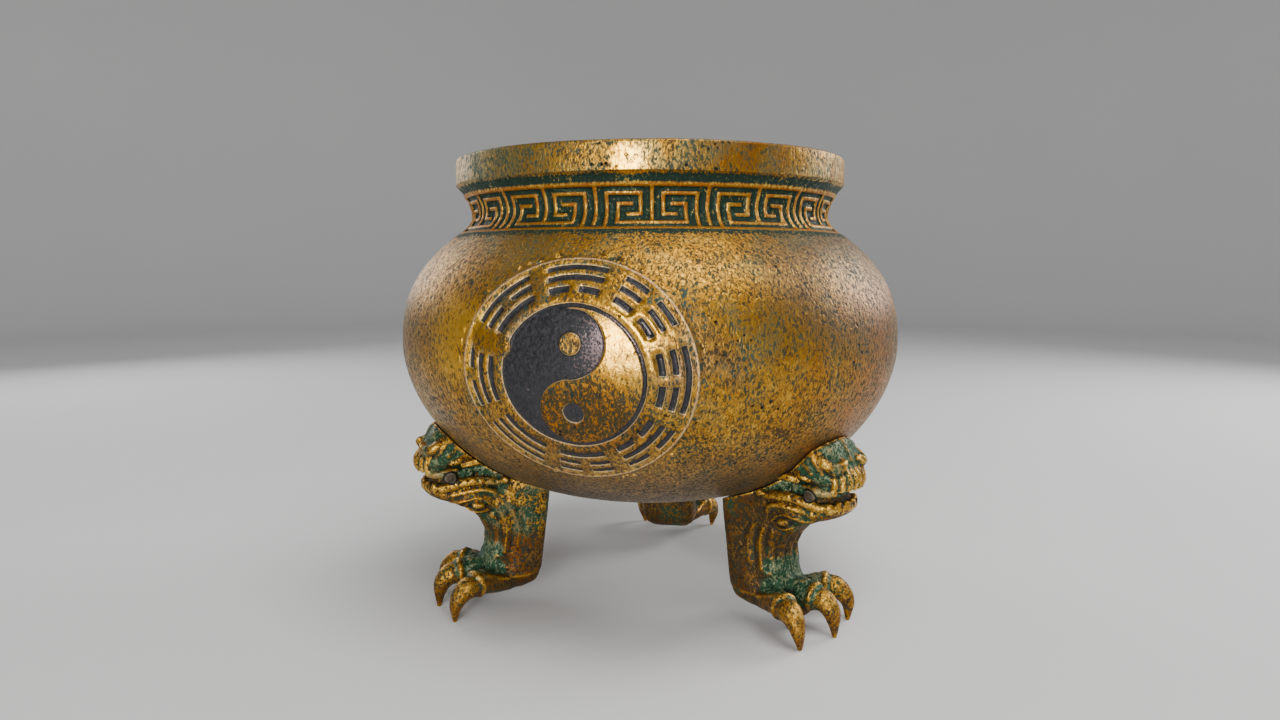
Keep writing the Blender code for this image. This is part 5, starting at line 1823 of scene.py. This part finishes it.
class GreenCoat:
    """The node layers of the legs' metal, made from the values of their finish."""

    def __init__(self, look: LegBronze) -> None:
        """Make the layers that the colour, the gloss and the bumps share."""
        self.look = look
        s = self.s = Shading("green_cast_bronze")
        self.patch, self.ridge = s.noise(look.patches), s.mask(Mask.RIDGE)
        crusted = s.spot(look.crusted)
        crust = s.times(s.step(s.noise(look.blotches), 0.50, 0.55), crusted)
        green = s.most(s.mask(Mask.GREEN), s.times(crusted, 0.45))
        self.green = s.times(green, s.rest(crust))
        self.gold = s.most(s.mask(Mask.GOLD), s.times(crust, 0.75))
        worn = s.sway(s.sway(s.noise(look.grain), self.patch, 0.40), s.noise(look.grit), 0.22)
        worn = s.plus(worn, s.step(self.ridge, -0.30, 0.35, -1.0, 1.0), 0.10)
        worn = s.plus(s.plus(worn, self.gold, 0.07), self.green, -0.02)
        self.worn = s.plus(worn, s.step(s.noise(look.dirt_grain), 0.50, 0.60), -0.16)
        self.shown = s.step(self.worn, 0.43, 0.57)
        self.edge = s.step(s.plus(self.ridge, self.worn, 0.4), 0.40, 0.62)
        self.tip = s.step(s.height(), 0.004, 0.023, 0.9, 0.0)
        self.bead = s.mask(Mask.DARK)
        self.core = s.step(self.bead, 0.24, 0.34)
        self.pitted = s.times(s.pits(look.pits_per_metre, 0.16, 0.36),
                              s.step(s.noise(look.pocked_patches), 0.44, 0.56))

    def rubbed(self) -> Socket:
        """The colour of the metal that shows through."""
        s, look = self.s, self.look
        light = s.blend(s.step(self.patch, 0.44, 0.60), look.gold, look.rust)
        light = s.blend(s.step(self.gold, 0.25, 0.80), light, look.bright)
        light = s.blend(self.tip, light, look.rust)
        return s.blend(s.step(self.green, 0.25, 0.65), light, look.pale_green)

    def patina(self) -> Socket:
        """The colour of the skin over it: brown, green in patches, and painted shade in black in
        the cuts.
        """
        s, look = self.s, self.look
        dark = s.blend(s.step(self.patch, 0.42, 0.60), look.brown, look.olive)
        wet = s.most(s.step(self.green, 0.15, 0.50),
                     s.step(s.noise(look.wet_patches), 0.54, 0.62, 0.0, 0.8))
        dark = s.blend(wet, dark, look.green)
        # Painted shade: the hollows, where the skin sinks below its softened form, darken towards
        # black.
        return s.blend(s.step(self.ridge, -0.50, -0.12, 1.0, 0.0), dark, look.black, 0.85)

    def colour(self) -> Socket:
        """The colour with its bright edges, glints, the bead and the black pits."""
        s, look = self.s, self.look
        colour = s.blend(self.shown, self.patina(), self.rubbed())
        colour = s.blend(self.edge, colour, look.bright, 0.75)
        shine = s.times(s.step(self.worn, 0.61, 0.72), s.step(self.gold, 0.45, 0.85))
        colour = s.blend(s.times(shine, s.rest(self.tip)), colour, look.glint, 0.8)
        colour = s.blend(s.step(self.bead, 0.02, 0.12), colour, look.black)
        colour = s.blend(self.core, colour, look.bead)
        colour = s.blend(s.step(self.bead, 0.46, 0.60, 0.0, 0.8), colour, look.brown)
        return s.blend(self.pitted, colour, look.black, 0.9)

    def material(self) -> Material:
        """Join the layers into the finished material."""
        s = self.s
        metal = s.times(self.shown, s.step(self.green, 0.25, 0.65, 0.62, 0.15))
        metal = s.most(s.maths("ADD", metal, 0.30), s.times(self.edge, 0.9))
        metal = s.plus(metal, self.core, -0.6)
        dull = s.plus(s.step(self.worn, 0.42, 0.62, 0.60, 0.42), self.edge, -0.1)
        s.bump([(self.patch, 0.5), (self.worn, 0.24), (s.times(self.pitted, -1.0), 0.15)])
        return s.surface(self.colour(), metal, dull, self.look.glance)


@dataclass(frozen=True)
class PaleFloor:
    """Matt pale paint with a very faint grain."""

    light: Colour = (0.72, 0.72, 0.71)
    shade: Colour = (0.68, 0.68, 0.675)
    grain: Grain = Grain(3.0, 4.0, 0.6, 0.0)
    roughness: float = 0.85

    def material(self) -> Material:
        """Build the node material."""
        s = Shading("pale_floor")
        s.feed(s.shader.inputs["Base Color"], s.blend(s.noise(self.grain), self.light, self.shade))
        s.shader.inputs["Roughness"].default_value = self.roughness
        return s.material


# The studio


@dataclass
class Lamp:
    """A soft square lamp, placed by the way that it shines from."""

    name: str
    azimuth: float
    elevation: float
    distance: float
    size: float
    power: float


@dataclass
class Studio:
    """A pale round stage, soft lamps and the camera."""

    aim: Vector = field(default_factory=lambda: Vector((0.0, 0.0, 0.105)))
    camera_place: tuple[float, float, float] = (0.1039, -0.4047, 0.1565)
    camera_pitch: float = -6.316
    camera_heading: float = 15.027
    focal_pixels: float = 866.5
    image_width: float = 1280.0
    sensor: float = 36.0
    floor_radius: float = 2.6
    wall_height: float = 1.9
    sweep: float = 0.7
    sweep_steps: int = 12
    floor_steps: int = 96
    sky: Colour = (0.52, 0.53, 0.55)
    sky_strength: float = 0.36
    lamps: tuple[Lamp, ...] = (
        Lamp("key", 5.0, 9.0, 1.3, 0.42, 12.0),
        Lamp("overhead", 50.0, 66.0, 1.4, 0.9, 17.0),
        Lamp("left_edge", -118.0, 20.0, 1.2, 0.5, 3.4),
        Lamp("right_edge", 132.0, 22.0, 1.2, 0.5, 7.0),
    )

    def add_camera(self) -> None:
        """Set up the camera at the fitted viewpoint."""
        data = bpy.data.cameras.new("camera")
        data.sensor_width = self.sensor
        data.lens = self.focal_pixels / self.image_width * self.sensor
        camera = linked("camera", data)
        camera.location = self.camera_place
        camera.rotation_euler = (math.radians(90.0 + self.camera_pitch), 0.0,
                                 math.radians(self.camera_heading))
        bpy.context.scene.camera = camera

    def add_lamp(self, lamp: Lamp) -> None:
        """Hang one lamp so that it faces the burner."""
        data = bpy.data.lights.new(lamp.name, "AREA")
        data.size = lamp.size
        data.energy = lamp.power
        turn, rise = math.radians(lamp.azimuth), math.radians(lamp.elevation)
        way = Vector((math.sin(turn) * math.cos(rise), -math.cos(turn) * math.cos(rise),
                      math.sin(rise)))
        item = linked(lamp.name, data)
        item.location = self.aim + way * lamp.distance
        item.rotation_euler = way.to_track_quat("Z", "Y").to_euler()

    def add_stage(self) -> None:
        """Spin the floor with its swept-up wall."""
        flat = self.floor_radius - self.sweep
        outline = [(0.0, 0.0), (flat, 0.0)]
        for turn in np.linspace(0.0, math.pi / 2.0, self.sweep_steps + 1)[1:]:
            outline.append((flat + self.sweep * math.sin(turn),
                            self.sweep * (1.0 - math.cos(turn))))
        outline.append((self.floor_radius, self.wall_height))
        shape = bmesh.new()
        spun(shape, [(radius, 0.0, height) for radius, height in outline], self.floor_steps)
        bmesh.ops.remove_doubles(shape, verts=shape.verts, dist=1e-5)
        bmesh.ops.recalc_face_normals(shape, faces=shape.faces)
        stage = finished("stage", shape)
        stage.data.materials.append(PaleFloor().material())

    def add_sky(self) -> None:
        """Light the world evenly."""
        world = bpy.data.worlds.new("studio")
        world.use_nodes = True
        back = world.node_tree.nodes["Background"]
        back.inputs["Color"].default_value = (*self.sky, 1.0)
        back.inputs["Strength"].default_value = self.sky_strength
        bpy.context.scene.world = world

    def build(self) -> None:
        """Set up everything round the burner."""
        self.add_camera()
        self.add_stage()
        self.add_sky()
        for lamp in self.lamps:
            self.add_lamp(lamp)


def main() -> None:
    """Build the studio and every piece of the burner."""
    logging.basicConfig(level=logging.INFO, format="%(message)s")
    Studio().build()
    bowl = Bowl(BowlSizes.from_frame())
    pieces = [bowl.build(BowlBronze())]
    pieces += BeastLeg(bowl.belly).build(LegBronze())
    for piece in pieces:
        log.info("%s: %d faces", piece.name, len(piece.data.polygons))


if __name__ == "__main__":
    main()
